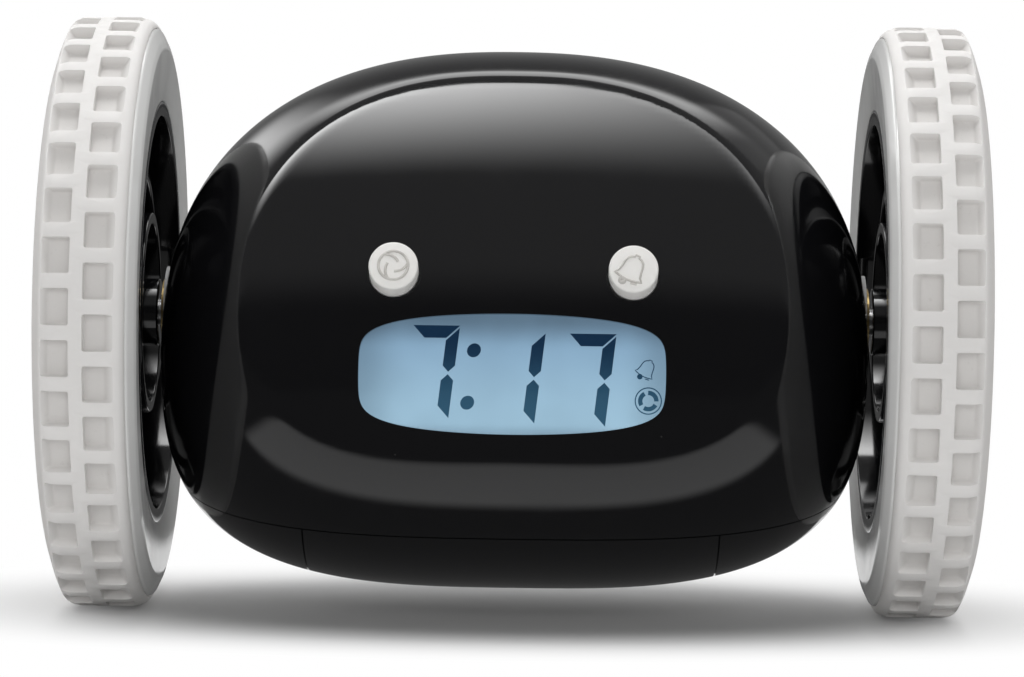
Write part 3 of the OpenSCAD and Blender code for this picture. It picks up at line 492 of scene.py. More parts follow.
# %% Turned pieces
OUT_X = 67.4
TYRE_IN = OUT_X - 13.6
LIP_X = TYRE_IN - 1.2
HUB_IN, HUB_OUT = LIP_X + 0.5, OUT_X - 0.8
WHEEL_R, HUB_R = 44.0, 31.5
FLANGE_R, BED_R, HOOK_R = 42.35, 40.55, 36.6


def eased(section, radius, steps=3):
    """Rounds every corner of a closed section by a short curve."""
    points = []
    count = len(section)
    for i, (r, x) in enumerate(section):
        before, after = Vector(section[i - 1]), Vector(section[(i + 1) % count])
        here = Vector((r, x))
        reach_in = min(radius, 0.45 * (before - here).length)
        reach_out = min(radius, 0.45 * (after - here).length)
        start = here + (before - here).normalized() * reach_in
        end = here + (after - here).normalized() * reach_out
        for k in range(steps + 1):
            t = k / steps
            points.append(tuple((1 - t) ** 2 * start + 2 * t * (1 - t) * here + t * t * end))
    return points


def spun_line(points, name, centre, axis, steps):
    """A closed line of points, in mm, spun once round an axis."""
    deselect()
    bpy.ops.mesh.primitive_circle_add(vertices=len(points), fill_type="NOTHING")
    ring = named(name)
    for v, point in zip(ring.data.vertices, points):
        v.co = Vector(point) * MM
    bpy.ops.object.mode_set(mode="EDIT")
    bpy.ops.mesh.select_all(action="SELECT")
    bpy.ops.mesh.spin(steps=steps, angle=2 * math.pi, center=centre, axis=axis)
    bpy.ops.mesh.select_all(action="SELECT")
    bpy.ops.mesh.remove_doubles(threshold=1e-6)
    bpy.ops.mesh.dissolve_degenerate(threshold=1e-7)
    bpy.ops.mesh.select_all(action="SELECT")
    bpy.ops.mesh.normals_make_consistent(inside=False)
    bpy.ops.object.mode_set(mode="OBJECT")
    return ring


def spun(section, name, steps):
    """A section of radii and places along X, spun round the wheels' axle."""
    points = [(x, 0, AXLE_Z + r) for r, x in section]
    return spun_line(points, name, (0, 0, AXLE_Z * MM), (1, 0, 0), steps)


def mirrored_copy(piece, name):
    twin = copy_of(piece, name)
    twin.data.transform(Matrix.Scale(-1, 4, (1, 0, 0)))
    twin.data.flip_normals()
    return twin


def turned_about_axle(degrees):
    centre = Matrix.Translation((0, 0, AXLE_Z * MM))
    return centre @ Matrix.Rotation(math.radians(degrees), 4, "X") @ centre.inverted()


# %% [markdown]
# The tyre's tread has two rows of pockets, half a pitch apart, with a plain rib between the
# rows. One pocket's tool is a box with eased edges, which is copied round the tyre. The cut's
# sharp rims are then eased by a bevel, because soft rubber has no knife edges.

# %% Tyre
TREAD_COUNT = 38
POCKET_L, POCKET_W, POCKET_D, RIB_W = 5.2, 4.5, 1.7, 1.9
POCKET_RAMP, POCKET_BLOCK = 1.5, 5.0
TREAD_EASE, EDGE_EASE = 0.35, 0.22
tread_mid = (TYRE_IN + OUT_X) / 2 + 0.1
tyre_section = eased([
    (FLANGE_R + 0.02, TYRE_IN), (WHEEL_R - 0.6, TYRE_IN + 0.7), (WHEEL_R, TYRE_IN + 2.2),
    (WHEEL_R, OUT_X - 2.8), (WHEEL_R - 0.5, OUT_X - 1.7), (WHEEL_R - 2.1, OUT_X - 1.0),
    (WHEEL_R - 5.2, OUT_X), (HOOK_R + 0.2, OUT_X), (HOOK_R, OUT_X - 0.4), (HOOK_R, OUT_X - 1.63),
    (BED_R + 0.02, OUT_X - 1.63), (BED_R + 0.02, TYRE_IN + 1.27), (FLANGE_R + 0.02, TYRE_IN + 1.27),
], 0.5)


def pocket_tools():
    """Pockets with a steep wall by the rib and a sloping one towards the shoulder."""
    deselect()
    bpy.ops.mesh.primitive_cube_add(size=1, scale=(POCKET_W * MM, POCKET_L * MM, POCKET_BLOCK * MM))
    pocket = apply_place(named("pocket"))
    for v in pocket.data.vertices:
        if v.co.x > 0:
            slope = POCKET_RAMP / POCKET_D * POCKET_BLOCK if v.co.z > 0 else 0
            v.co.x += slope * MM - POCKET_RAMP * MM
    modify(pocket, "BEVEL", width=TREAD_EASE * MM, segments=3, limit_method="NONE")
    lift = AXLE_Z + WHEEL_R - POCKET_D + POCKET_BLOCK / 2
    pocket.data.transform(Matrix.Translation((0, 0, lift * MM)))
    tools = []
    for row, offset in ((1, 0.0), (-1, 0.5)):
        for k in range(TREAD_COUNT):
            tool = copy_of(pocket, "pocket")
            tool.data.transform(Matrix.Diagonal((row, 1, 1, 1)))
            if row < 0:
                tool.data.flip_normals()
            turn = turned_about_axle(360 * (k + offset) / TREAD_COUNT)
            aside = (tread_mid + row * (RIB_W + POCKET_W) / 2) * MM
            tool.data.transform(turn @ Matrix.Translation((aside, 0, 0)))
            tools.append(tool)
    drop(pocket)
    return joined(tools, "pockets")


right_tyre = spun(tyre_section, "tyre_right", 228)
cut(right_tyre, pocket_tools())
ease_edges(right_tyre, EDGE_EASE)
smooth(right_tyre, 60)
left_tyre = mirrored_copy(right_tyre, "tyre_left")
print("tyre:", faces_count(right_tyre), "faces")

# %% [markdown]
# The rim is glossier than the tyre. It shows as a bright band between the tyre and the hub,
# and its thin lip stands inboard of the tyre.

# %% Rim
RIM_T = 2.0
LIP_R = WHEEL_R - 4.5
rim_section = eased([
    (HUB_R + 0.02, HUB_IN), (LIP_R - 1.2, LIP_X + 0.06), (LIP_R, LIP_X), (LIP_R + 1, LIP_X + 0.25),
    (FLANGE_R - 0.25, TYRE_IN - 0.2), (FLANGE_R, TYRE_IN + 0.05), (FLANGE_R, TYRE_IN + 1.25),
    (BED_R, TYRE_IN + 1.25), (BED_R, OUT_X - 1.65), (HOOK_R - 0.02, OUT_X - 1.65),
    (HOOK_R - 0.02, HUB_OUT), (HUB_R + 0.02, HUB_OUT), (HUB_R + 0.02, HUB_OUT - RIM_T),
    (HOOK_R - RIM_T, HUB_OUT - RIM_T),
    (BED_R - RIM_T, OUT_X - 1.65 - RIM_T), (BED_R - RIM_T, TYRE_IN + 1.25 + RIM_T),
    (LIP_R - 2, HUB_IN + RIM_T), (HUB_R + 0.02, HUB_IN + RIM_T),
], 0.25)
right_rim = smooth(spun(rim_section, "rim_right", 192), 40)
left_rim = mirrored_copy(right_rim, "rim_left")
print("rim:", faces_count(right_rim), "faces")

# %% [markdown]
# The hub is a dish on both sides: a flat-ended outer band, a web half-way through, a ring
# round the middle and a boss on the axle. Three curved ribs swirl from the ring to the band.

# %% Hub
BAND_T, RING_R, CORE_R, BOSS_HUB_R, WEB_T, AXLE_R = 2.1, 14.9, 13.3, 5.0, 1.6, 2.0
SWIRL_R, SWIRL_COUNT, SWIRL_START, RIB_EASE = 30.0, 3, 30, 0.2
web_x = (HUB_IN + HUB_OUT) / 2 - 0.5
hub_section = eased([
    (AXLE_R + 0.02, HUB_IN + 0.1), (BOSS_HUB_R, HUB_IN + 0.1), (BOSS_HUB_R, web_x - 1.4),
    (CORE_R, web_x - 1.4), (CORE_R, HUB_IN + 1.3), (RING_R, HUB_IN + 1.3), (RING_R, web_x),
    (HUB_R - BAND_T, web_x), (HUB_R - BAND_T, HUB_IN), (HUB_R, HUB_IN), (HUB_R, HUB_OUT),
    (HUB_R - BAND_T, HUB_OUT), (HUB_R - BAND_T, web_x + WEB_T), (RING_R, web_x + WEB_T),
    (RING_R, HUB_OUT - 1), (CORE_R, HUB_OUT - 1), (CORE_R, web_x + 0.2), (BOSS_HUB_R, web_x + 0.2),
    (BOSS_HUB_R, HUB_IN + 10), (AXLE_R + 0.02, HUB_IN + 10),
], 0.2)


def swirl_outline(half_t, steps=28):
    """A closed strip round an arc that leaves the ring and runs into the band."""
    near = RING_R + 0.2 - half_t
    centre = near - SWIRL_R

    def at(radius, angle):
        return (centre + radius * math.cos(angle), radius * math.sin(angle))

    reach = HUB_R - BAND_T / 2
    last = math.acos((reach**2 - centre**2 - SWIRL_R**2) / (2 * centre * SWIRL_R))
    angles = [last * k / steps for k in range(steps + 1)]
    outer = [at(SWIRL_R + half_t, a) for a in angles]
    inner = [at(SWIRL_R - half_t, a) for a in reversed(angles)]
    return outer + inner


def swirl_rib(angle, x0, x1):
    outline = [(-z, y) for y, z in swirl_outline(WEB_T / 2)]
    along = Matrix(((0, 0, 1, 0), (0, 1, 0, 0), (-1, 0, 0, 0), (0, 0, 0, 1)))
    rib = prism_tool(outline, x0, x1, Matrix.Translation((0, 0, AXLE_Z * MM)) @ along)
    rib.data.transform(turned_about_axle(angle))
    return rib


right_hub = spun(hub_section, "hub_right", 160)
for k in range(SWIRL_COUNT):
    rib = swirl_rib(360 * k / SWIRL_COUNT + SWIRL_START, HUB_IN + 1.6, HUB_OUT - 1.3)
    ease_edges(rib, RIB_EASE)
    cut(right_hub, rib, "UNION")
smooth(right_hub, 40)
left_hub = mirrored_copy(right_hub, "hub_left")
print("hub:", faces_count(right_hub), "faces")

WHEEL_NODES, WHEEL_SLOTS = ("tyre", "rim", "hub"), ("soft_white", "white_plastic", "shell")
for side, pieces in (("left", (left_tyre, left_rim, left_hub)),
                     ("right", (right_tyre, right_rim, right_hub))):
    for piece, node, slot in zip(pieces, WHEEL_NODES, WHEEL_SLOTS):
        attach(piece, side + "_wheel")
        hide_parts(side + "_" + node)

# %% [markdown]
# Each button carries a raised sign: a bell to set the alarm and a little wheel to set how the
# clock runs. A sign is drawn as thin lines that are half sunk in the cap.

# %% Signs drawn in lines
def stroke(points, width, height, m, closed=False, name="stroke"):
    """A rounded line through points, in mm, flattened to a height."""
    curve = bpy.data.curves.new(name, "CURVE")
    curve.dimensions = "3D"
    curve.bevel_depth = width / 2 * MM
    curve.bevel_resolution = 2
    curve.use_fill_caps = True
    line = curve.splines.new("POLY")
    line.points.add(len(points) - 1)
    for p, (x, y) in zip(line.points, points):
        p.co = (x * MM, y * MM, 0, 1)
    line.use_cyclic_u = closed
    piece = bpy.data.objects.new(name, curve)
    bpy.context.scene.collection.objects.link(piece)
    pick(piece)
    bpy.ops.object.convert(target="MESH")
    piece = bpy.context.object
    piece.data.transform(m @ Matrix.Diagonal((1, 1, height / (width / 2), 1)))
    return piece


def ring_points(radius, steps=40, start=0.0, end=360.0):
    turns = [math.radians(start + (end - start) * k / steps) for k in range(steps + 1)]
    return [(radius * math.cos(t), radius * math.sin(t)) for t in turns]


def bell_points(size, steps=10):
    """A bell's outline, mouth down: a flared side, a round shoulder and a knob."""
    side = [(0.50, -0.42), (0.40, -0.30), (0.35, -0.10), (0.33, 0.08),
            (0.28, 0.23), (0.18, 0.32), (0.09, 0.35), (0.07, 0.42)]
    outline = side + [(-x, y) for x, y in reversed(side)]
    mouth = [(-0.50 + k / steps, -0.42 - 0.09 * math.sin(math.pi * k / steps))
             for k in range(1, steps)]
    return [(x * size, y * size) for x, y in outline + mouth]


def sign_turn(m, degrees, x=0.0, y=0.0, z=0.0):
    turn = Matrix.Rotation(math.radians(degrees), 4, "Z")
    return m @ Matrix.Translation((x * MM, y * MM, z * MM)) @ turn


def bell_sign(m, size, width, height):
    """A bell's outline with a round clapper and a short tick under its mouth."""
    dot = [(x - 0.13 * size, y - 0.60 * size) for x, y in ring_points(0.075 * size)[:-1]]
    knob = stroke(dot, 0.14 * size, height, m, closed=True, name="clapper")
    tick_ends = [(0.16 * size, -0.58 * size), (0.38 * size, -0.54 * size)]
    tick = stroke(tick_ends, width, height, m, name="tick")
    return [stroke(bell_points(size), width, height, m, closed=True, name="bell"), knob, tick]


def wheel_sign(m, radius, width, height):
    """A ring with three swirls, as on the real hubs."""
    parts = [stroke(ring_points(radius)[:-1], width, height, m, closed=True, name="ring")]
    for k in range(3):
        swirl = [(x - 0.55 * radius, y) for x, y in ring_points(0.95 * radius, 14, 8, 78)]
        turn = Matrix.Rotation(math.radians(120 * k + 20), 4, "Z")
        parts.append(stroke(swirl, width, height, m @ turn, name="swirl"))
    return parts


# %% [markdown]
# The buttons are turned caps. A flange keeps them behind the shell, and a stem reaches back
# to the switch.

# %% Round buttons
BUTTON_OUT, FLANGE_OUT, FLANGE_T, FLANGE_DROP = 3.0, 0.9, 1.0, 0.8
STEM_R, STEM_L, CROWN = 1.5, 6.1, 0.04
RUN_SIGN_R, BELL_SIZE, BELL_TURN, SIGN_RISE = 2.1, 4.1, -24, 0.22


def turned_cap(section, name, m, steps=96):
    """A round piece spun about its own Z, then set in its place."""
    cap = spun_line([(r, 0, z) for r, z in section], name, (0, 0, 0), (0, 0, 1), steps)
    cap.data.transform(m)
    return cap


def button_cap(name, m):
    r, f = BUTTON_R, BUTTON_R + FLANGE_OUT
    base = -WALL - FLANGE_DROP
    edge = [(r, BUTTON_OUT - 0.35), (r - 0.04, BUTTON_OUT - 0.18),
            (r - 0.14, BUTTON_OUT - 0.05), (r - 0.32, BUTTON_OUT)]
    foot = [(0, -STEM_L), (STEM_R, -STEM_L), (STEM_R, base - FLANGE_T), (f, base - FLANGE_T),
            (f, base), (r, base)]
    return turned_cap(foot + edge + [(0, BUTTON_OUT + CROWN)], name, m)


run_cap = button_cap("cap_run", button_frames[-1])
run_place = sign_turn(button_frames[-1], 0, z=BUTTON_OUT)
run_sign = joined(wheel_sign(run_place, RUN_SIGN_R, 0.42, SIGN_RISE), "sign_run")
alarm_cap = button_cap("cap_alarm", button_frames[1])
alarm_place = sign_turn(button_frames[1], BELL_TURN, -0.1, 0.3, BUTTON_OUT)
alarm_sign = joined(bell_sign(alarm_place, BELL_SIZE, 0.34, SIGN_RISE), "sign_alarm")
for cap, sign, node in ((run_cap, run_sign, "run_button"),
                        (alarm_cap, alarm_sign, "alarm_button")):
    for piece in (cap, sign):
        smooth(piece, 50)
        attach(piece, node)
        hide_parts(node)

# %% [markdown]
# The display shows the same two signs, small, at its right-hand edge.

# %% Signs on the display
GLASS_DEPTH = 5.99
BLADE_R, BLADE_W, INK_LINE, INK_T = 0.62, 0.62, 0.17, 0.06


def display_wheel(m, radius):
    """A ring round a filled wheel of three bent blades."""
    parts = [stroke(ring_points(radius)[:-1], INK_LINE, INK_T, m, closed=True, name="ring")]
    for k in range(3):
        blade = ring_points(BLADE_R * radius, 10, -2, 92)
        turn = Matrix.Rotation(math.radians(120 * k), 4, "Z")
        parts.append(stroke(blade, BLADE_W, INK_T, m @ turn, name="blade"))
    return parts


glass_frame = display_frame @ Matrix.Translation((0, 0, -GLASS_DEPTH * MM))
small_bell_place = sign_turn(glass_frame, -27, 19.1, 1.5, 0.05)
small_bell = joined(bell_sign(small_bell_place, 2.7, 0.14, INK_T), "sign_bell")
small_wheel = joined(display_wheel(sign_turn(glass_frame, 0, 19.3, -3.2, 0.05), 1.85), "sign_wheel")
for piece in (small_bell, small_wheel):
    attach(piece, "body")

# %% [markdown]
# Finishes are built as sums. A wire is one value in a material, and adding or multiplying
# wires adds the nodes that do so, which keeps a finish as short as its recipe.

# %% Wires and finishes
class Wire:
    """One value in a node tree, which can be reckoned with as a number can."""

    def __init__(self, finish, socket):
        self.finish = finish
        self.socket = socket

    def math(self, operation, a, b):
        return self.finish.node("ShaderNodeMath", {"operation": operation}, {0: a, 1: b})

    def __add__(self, other):
        return self.math("ADD", self, other)

    def __sub__(self, other):
        return self.math("SUBTRACT", self, other)

    def __rsub__(self, other):
        return self.math("SUBTRACT", other, self)

    def __mul__(self, other):
        return self.math("MULTIPLY", self, other)

    def __truediv__(self, other):
        return self.math("DIVIDE", self, other)

    def __pow__(self, other):
        return self.math("POWER", self, other)

    def between(self, low, high, to_low=0.0, to_high=1.0):
        """Goes smoothly from to_low to to_high as the wire goes from low to high."""
        ends = {"Value": self, "From Min": low, "From Max": high,
                "To Min": to_low, "To Max": to_high}
        return self.finish.node("ShaderNodeMapRange", {"interpolation_type": "SMOOTHSTEP"}, ends)


class Finish:
    """A node tree that is built by calls, each of which gives back the wire it made."""

    def __init__(self, tree, shader=None):
        self.tree = tree
        self.shader = shader

    def node(self, kind, settings=None, inputs=None, output=0):
        made = self.tree.nodes.new(kind)
        for key, value in (settings or {}).items():
            setattr(made, key, value)
        for key, value in (inputs or {}).items():
            self.set(made.inputs[key], value)
        return Wire(self, made.outputs[output])

    def set(self, socket, value):
        if isinstance(value, Wire):
            self.tree.links.new(value.socket, socket)
        elif isinstance(value, tuple) and socket.type == "RGBA" and len(value) == 3:
            socket.default_value = (*value, 1)
        else:
            socket.default_value = value

    def feed(self, **values):
        for key, value in values.items():
            label = key.replace("_", " ").title().replace("Ior", "IOR")
            self.set(self.shader.inputs[label], value)

    def place(self):
        return self.node("ShaderNodeTexCoord", output="Object")

    def axes(self, place=None):
        split = self.tree.nodes.new("ShaderNodeSeparateXYZ")
        self.set(split.inputs[0], place or self.place())
        return [Wire(self, o) for o in split.outputs]

    def noise(self, size, detail=3.0, rough=0.5, stretch=(1, 1, 1)):
        """Soft noise whose spots are about size mm across."""
        at = self.node("ShaderNodeMapping", None, {"Vector": self.place(), "Scale": stretch})
        return self.node("ShaderNodeTexNoise", None,
                         {"Vector": at, "Scale": 1 / (size * MM), "Detail": detail, "Roughness": rough})

    def specks(self, size, cell):
        """A few round specks of size mm, one in each cell mm or so."""
        distance = self.node("ShaderNodeTexVoronoi", None,
                             {"Vector": self.place(), "Scale": 1 / (cell * MM)}, output="Distance")
        return distance.between(size / cell * 0.35, size / cell * 0.6, 1.0, 0.0)

    def mix(self, factor, a, b):
        made = self.tree.nodes.new("ShaderNodeMix")
        made.data_type = "RGBA"
        for index, value in ((0, factor), (6, a), (7, b)):
            self.set(made.inputs[index], value)
        return Wire(self, made.outputs[2])

    def rays(self, *kinds):
        """Wires that are 1 for the named kinds of ray and 0 for all others."""
        path = self.tree.nodes.new("ShaderNodeLightPath")
        return [Wire(self, path.outputs[f"Is {kind} Ray"]) for kind in kinds]

    def bump(self, height, depth):
        """A bump whose full height is depth mm."""
        relief = {"Height": height, "Strength": 1.0, "Distance": depth * MM}
        self.feed(normal=self.node("ShaderNodeBump", None, relief))


def finish(name, **constants):
    material = bpy.data.materials.new(name)
    material.use_nodes = True
    made = Finish(material.node_tree, material.node_tree.nodes["Principled BSDF"])
    made.material = material
    made.feed(**constants)
    return made


def grey(value):
    return (value, value, value)


# %% [markdown]
# The shell is polished black plastic. Close to, it is not perfect: the gloss wanders a
# little where it has been handled, and a few specks of dust lie on it.

# %% Black gloss
def black_gloss():
    f = finish("black gloss", specular_ior_level=0.5)
    dust = f.specks(0.16, 5.0) * f.noise(9, 2).between(0.5, 0.62)
    smear = f.noise(14, 4, 0.6).between(0.42, 0.7)
    f.feed(base_color=f.mix(dust * 0.5, (0.0045, 0.0045, 0.0052), (0.16, 0.155, 0.15)),
           roughness=smear * 0.05 + dust * 0.3 + 0.075)
    f.bump(f.noise(3.5, 2), 0.0008)
    return f.material


# %% [markdown]
# The tyres are matt. Their pockets carry painted shade, an even greying of the recesses,
# with some patchy dust on it. The rims are glossy, and the buttons lie between the two.

# %% Three whites
def soft_white():
    f = finish("soft white rubber", specular_ior_level=0.4)
    _, y, z = f.axes()
    up = z - AXLE_Z * MM
    radius = (y * y + up * up) ** 0.5
    # Painted shade: the pockets are greyed evenly for the shade in the recesses; the patchy grime on
    # top is dust.
    low = radius.between((WHEEL_R - POCKET_D) * MM, (WHEEL_R - 0.3) * MM, 1.0, 0.0)
    blotch = f.noise(6, 4, 0.6).between(0.35, 0.75)
    grime = f.noise(1.1, 4, 0.65).between(0.6, 0.75) * low
    colour = f.mix(blotch * 0.35, (0.80, 0.785, 0.77), (0.755, 0.74, 0.725))
    f.feed(base_color=f.mix(low * 0.4 + grime * 0.22, colour, (0.55, 0.53, 0.51)),
           roughness=blotch * 0.12 + 0.5)
    f.bump(f.noise(0.35, 3), 0.012)
    return f.material


def white_gloss():
    f = finish("white gloss", specular_ior_level=0.5)
    blotch = f.noise(8, 3).between(0.35, 0.7)
    f.feed(base_color=f.mix(blotch * 0.3, (0.76, 0.76, 0.75), (0.72, 0.72, 0.71)),
           roughness=blotch * 0.06 + 0.14)
    f.bump(f.noise(2.5, 2), 0.002)
    return f.material


def cap_white():
    f = finish("button white", specular_ior_level=0.45)
    blotch = f.noise(1.8, 4, 0.6).between(0.3, 0.75)
    f.feed(base_color=f.mix(blotch * 0.5, (0.88, 0.87, 0.845), (0.82, 0.805, 0.78)),
           roughness=blotch * 0.12 + 0.38)
    f.bump(f.noise(0.25, 3), 0.008)
    return f.material


# %% [markdown]
# The pieces inside, which show only when the clock is open, share two plain recipes.

# %% Moulded and brushed
def moulded(name, colour, rough=0.5, metallic=0.0, spot=1.5, depth=0.01, spread=0.2):
    """A plain moulded or machined finish with a little change of colour and gloss."""
    f = finish(name, metallic=metallic)
    blotch = f.noise(spot, 4, 0.6).between(0.3, 0.75)
    dark = tuple(c * (1 - spread) for c in colour)
    f.feed(base_color=f.mix(blotch, colour, dark), roughness=blotch * 0.14 + rough)
    f.bump(f.noise(0.4, 3), depth)
    return f.material


def brushed(name, colour, rough=0.25, stretch=(0.04, 1, 1)):
    """A drawn or turned metal with fine lines along X."""
    f = finish(name, metallic=1.0)
    lines = f.noise(0.15, 3, 0.6, stretch)
    dark = tuple(c * 0.8 for c in colour)
    f.feed(base_color=f.mix(lines, colour, dark), roughness=lines * 0.2 + rough)
    f.bump(lines, 0.004)
    return f.material


# %% [markdown]
# The display glows from behind: its blue is brightest low and in the middle, and painted
# shade dims it towards the window's edges, as the window's frame would shade it. The digits darken
# towards their tops.

# %% Display finishes
GLOW_LOW, GLOW_HIGH, GLOW_SHADED = (0.365, 0.570, 0.725), (0.25, 0.41, 0.58), (0.08, 0.13, 0.18)
INK_LOW, INK_HIGH = (0.026, 0.088, 0.150), (0.004, 0.022, 0.056)


def on_glass(f):
    """Right and up on the glass, in mm from the window's middle."""
    x, y, z = f.axes()
    t = math.radians(DISPLAY_TILT)
    right = x / MM
    behind, above = y - window_y * MM, z - (AXLE_Z + window_z) * MM
    up = behind * (math.sin(t) / MM) + above * (math.cos(t) / MM)
    return right, up


def lit_glass():
    f = finish("lit glass", roughness=0.5, specular_ior_level=0.0, emission_strength=1.0)
    right, up = on_glass(f)
    height = up.between(-7.5, 8.5)
    tone = f.mix(height, GLOW_LOW, GLOW_HIGH)
    side = (right * right) ** 0.5
    # Painted shade of the window's frame: darker at the sides, the top and the bottom edge.
    frame_shade = side.between(15, 22, 0.0, 0.4) + up.between(3.5, 8.4, 0.0, 0.75)
    frame_shade = frame_shade + up.between(-8.4, -6.5, 0.35, 0.0)
    cloud = f.noise(9, 2).between(0.3, 0.7, 0.0, 0.12)
    colour = f.mix(frame_shade + cloud, tone, GLOW_SHADED)
    f.feed(base_color=grey(0.02), emission_color=colour)
    return f.material


def display_ink():
    f = finish("display ink", roughness=0.5, specular_ior_level=0.0, emission_strength=1.0)
    _, up = on_glass(f)
    tone = f.mix(up.between(-5.5, 5.5), INK_LOW, INK_HIGH)
    dull = f.mix(f.noise(0.6, 2), (0.01, 0.02, 0.03), (0.006, 0.012, 0.02))
    f.feed(base_color=dull, emission_color=tone)
    return f.material


def clear_window():
    f = finish("clear window", base_color=grey(1.0), ior=1.49, transmission_weight=1.0)
    f.feed(roughness=f.noise(6, 3).between(0.4, 0.8, 0.0, 0.012))
    return f.material


# %% [markdown]
# Every node of the frame takes the finish that its record names. The pieces made above take
# theirs by hand, and the signs' lines carry painted shade: they are coloured darker than the caps they
# stand on, for the shading at their raised edges.

# %% Dress every piece
FINISHES = {
    "shell": black_gloss(),
    "white_plastic": white_gloss(),
    "cap_plastic": cap_white(),
    "soft_white": soft_white(),
    "lens": clear_window(),
    "lcd": lit_glass(),
    "digits": display_ink(),
    "guide": moulded("light guide", (0.70, 0.82, 0.88), 0.2, spread=0.06),
    "inner_plastic": moulded("natural plastic", grey(0.70), 0.45),
    "dark_plastic": moulded("black matt plastic", grey(0.028), 0.42),
    "board": moulded("circuit board", (0.02, 0.13, 0.065), 0.3, spot=0.8, spread=0.35),
    "nylon": moulded("nylon", (0.78, 0.76, 0.68), 0.4),
    "brass": brushed("brass", (0.60, 0.44, 0.20)),
    "steel": brushed("steel", grey(0.55)),
    "motor": brushed("motor can", (0.56, 0.57, 0.59), 0.3),
    "cell": moulded("cell sleeve", (0.30, 0.32, 0.35), 0.3, 0.5),
    "cone": moulded("paper cone", grey(0.035), 0.8, depth=0.03),
    "magnet": brushed("magnet", grey(0.30), 0.35),
}


def dress(piece, material):
    piece.data.materials.clear()
    piece.data.materials.append(material)


slot_of = {row["node"]: row["material_slot"] for row in frame["record"]["subparts"]}
for node, piece in frame["nodes"].items():
    dress(piece, FINISHES[slot_of[node]])
for slot, pieces in (("shell", (top_shell, base_shell, door, left_hub, right_hub)),
                     ("soft_white", (left_tyre, right_tyre)),
                     ("white_plastic", (left_rim, right_rim)),
                     ("cap_plastic", (run_cap, alarm_cap)), ("lens", (lens,)),
                     ("digits", (small_bell, small_wheel))):
    for piece in pieces:
        dress(piece, FINISHES[slot])
# Painted shade: the raised lines are coloured darker than the caps, for the shading at their edges.
shaded_sign_lines = moulded("shaded sign lines", (0.63, 0.61, 0.58), 0.4)
for piece in (run_sign, alarm_sign):
    dress(piece, shaded_sign_lines)
print("finishes:", len(FINISHES))

# %% [markdown]
# The clock stands on a pale floor, which fades to white a few centimetres from it and keeps
# its shadow near it. To glossy rays the floor shows a painted reflection, a bent grey band:
# painted light only between a near edge, where a painted shadow of the clock ends, and a far edge, and
# painted shade elsewhere.

# %% Floor
FLOOR_SIZE = 12
deselect()
bpy.ops.mesh.primitive_grid_add(x_subdivisions=8, y_subdivisions=8, size=FLOOR_SIZE)
floor = named("floor")
pale = finish("pale floor", roughness=0.6, specular_ior_level=0.2)
fx, fy, _ = pale.axes()
spot = (fx * fx * 0.2 + fy * fy) ** 0.5
pale.feed(base_color=pale.mix(pale.noise(60, 3), grey(0.70), grey(0.68)))
to_eye, to_gloss = pale.rays("Camera", "Glossy")
glow = pale.node("ShaderNodeEmission", None, {"Color": (1.0, 1.0, 1.0, 1.0), "Strength": 1.0})
ahead, aside = (fy * fy) ** 0.5, (fx * fx) ** 0.5
# Painted reflection for glossy rays: painted light in a band between the near and far edges, painted
# shadow of the clock inside the near edge.
near_edge, far_edge = ahead - fx * fx * 0.9, ahead - fx * fx * 4.5
painted_light_band = near_edge.between(0.033, 0.037) * far_edge.between(0.06, 0.1, 1.0, 0.0)
painted_light_band = painted_light_band * aside.between(0.070, 0.084, 1.0, 0.0)
painted_band_tone = pale.mix(painted_light_band, grey(0.08), grey(0.95))
painted_reflection = pale.node("ShaderNodeEmission", None, {"Color": painted_band_tone, "Strength": 1.0})
fade, matt = spot.between(0.021, 0.052) * to_eye, Wire(pale, pale.shader.outputs[0])
near = pale.node("ShaderNodeMixShader", None, {0: fade, 1: matt, 2: glow})
both = pale.node("ShaderNodeMixShader", None, {0: to_gloss, 1: near, 2: painted_reflection})
pale.set(pale.tree.nodes["Material Output"].inputs["Surface"], both)
floor.data.materials.append(pale.material)

# %% [markdown]
# What black gloss shows is mostly the room, so the room is painted with care, in degrees up
# from the level in front of the clock: 90 is overhead, and 180 is level behind it. There is a
# wide soft panel that ends overhead, a dark gap, a narrow pale wall behind the gap, which
# draws the bright crescent above the face, and dimness in front, where the camera stands.

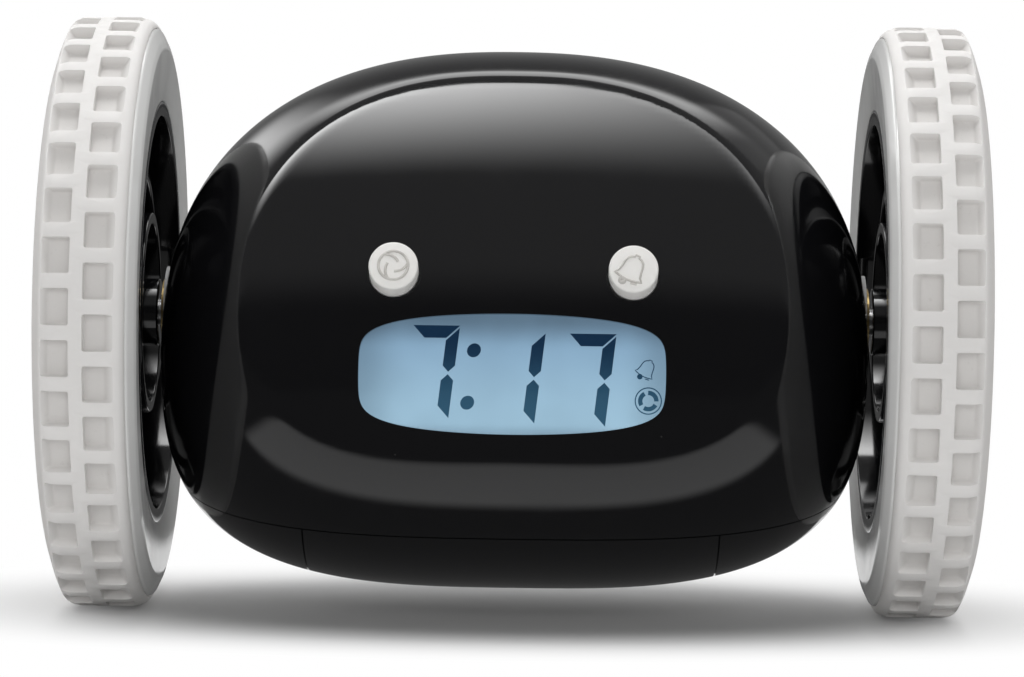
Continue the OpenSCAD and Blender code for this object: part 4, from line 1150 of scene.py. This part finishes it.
# %% Room
world = bpy.data.worlds.new("room")
world.use_nodes = True
bpy.context.scene.world = world
room = Finish(world.node_tree)
sky = world.node_tree.nodes["Background"]
dx, dy, dz = room.axes(room.node("ShaderNodeTexCoord", output="Generated"))
over = dz.math("ARCTAN2", dz, dy * -1.0) * (180 / math.pi)
wide = (dx * dx) ** 0.5
rise = room.node("ShaderNodeMapRange", None, {"Value": over, "From Min": 59, "From Max": 86})
panel = rise ** 1.5 * over.between(90.0, 92.0, 1.0, 0.0) * wide.between(0.5, 0.8, 1.0, 0.0)
panel = panel * dx.between(-0.3, 0.45, 1.5, 0.3)
back_wall = over.between(113, 119) * over.between(132, 139, 1.0, 0.0)
back_wall = back_wall * wide.between(0.25, 0.5, 1.0, 0.0)
left_glow = over.between(118, 140) * over.between(150, 170, 1.0, 0.0)
left_glow = left_glow * dx.between(-0.6, -0.25, 1.0, 0.0)
right_patch = over.between(118, 122) * over.between(150, 156, 1.0, 0.0)
right_patch = right_patch * dx.between(0.28, 0.31) * dx.between(0.6, 0.66, 1.0, 0.0)
rear = over.between(140, 165)
sides = wide.between(0.72, 0.80) * dz.between(0.05, 0.35)
front = over.between(20, 34, 0.05, 0.3) * over.between(134, 142, 1.0, 0.55)
studio = (front + panel * 9.0 + back_wall * 2.8 + left_glow * 4.0
          + right_patch * 0.2 + rear * 0.07 + sides * 0.3)
plain = dy.between(-0.1, 0.6, 0.36, 1.5)
to_eye, to_gloss, to_glass = room.rays("Camera", "Glossy", "Transmission")
mirrored_light = to_gloss.math("MAXIMUM", to_gloss, to_glass)
strength = to_eye + (1.0 - to_eye) * (mirrored_light * studio + (1.0 - mirrored_light) * plain)
room.set(sky.inputs["Color"], (1.0, 1.0, 1.0))
room.set(sky.inputs["Strength"], strength)

# %% [markdown]
# Two soft lamps light what isn't black: one overhead and one wide one in front. Neither shows
# in the gloss or through the window.

# %% Lamps
def soft_lamp(name, place, aim, size, power):
    data = bpy.data.lights.new(name, "AREA")
    data.shape = "RECTANGLE"
    data.size, data.size_y = size
    data.energy = power
    lamp = bpy.data.objects.new(name, data)
    bpy.context.scene.collection.objects.link(lamp)
    lamp.location = place
    lamp.rotation_euler = (Vector(place) - Vector(aim)).to_track_quat("Z", "Y").to_euler()
    lamp.visible_glossy = False
    lamp.visible_transmission = False
    return lamp


soft_lamp("overhead", (0, 0.05, 0.9), (0, 0, 0.04), (0.5, 0.4), 3.0)
soft_lamp("front", (0, -1.1, 0.45), (0, 0, 0.04), (1.2, 0.6), 3.8)
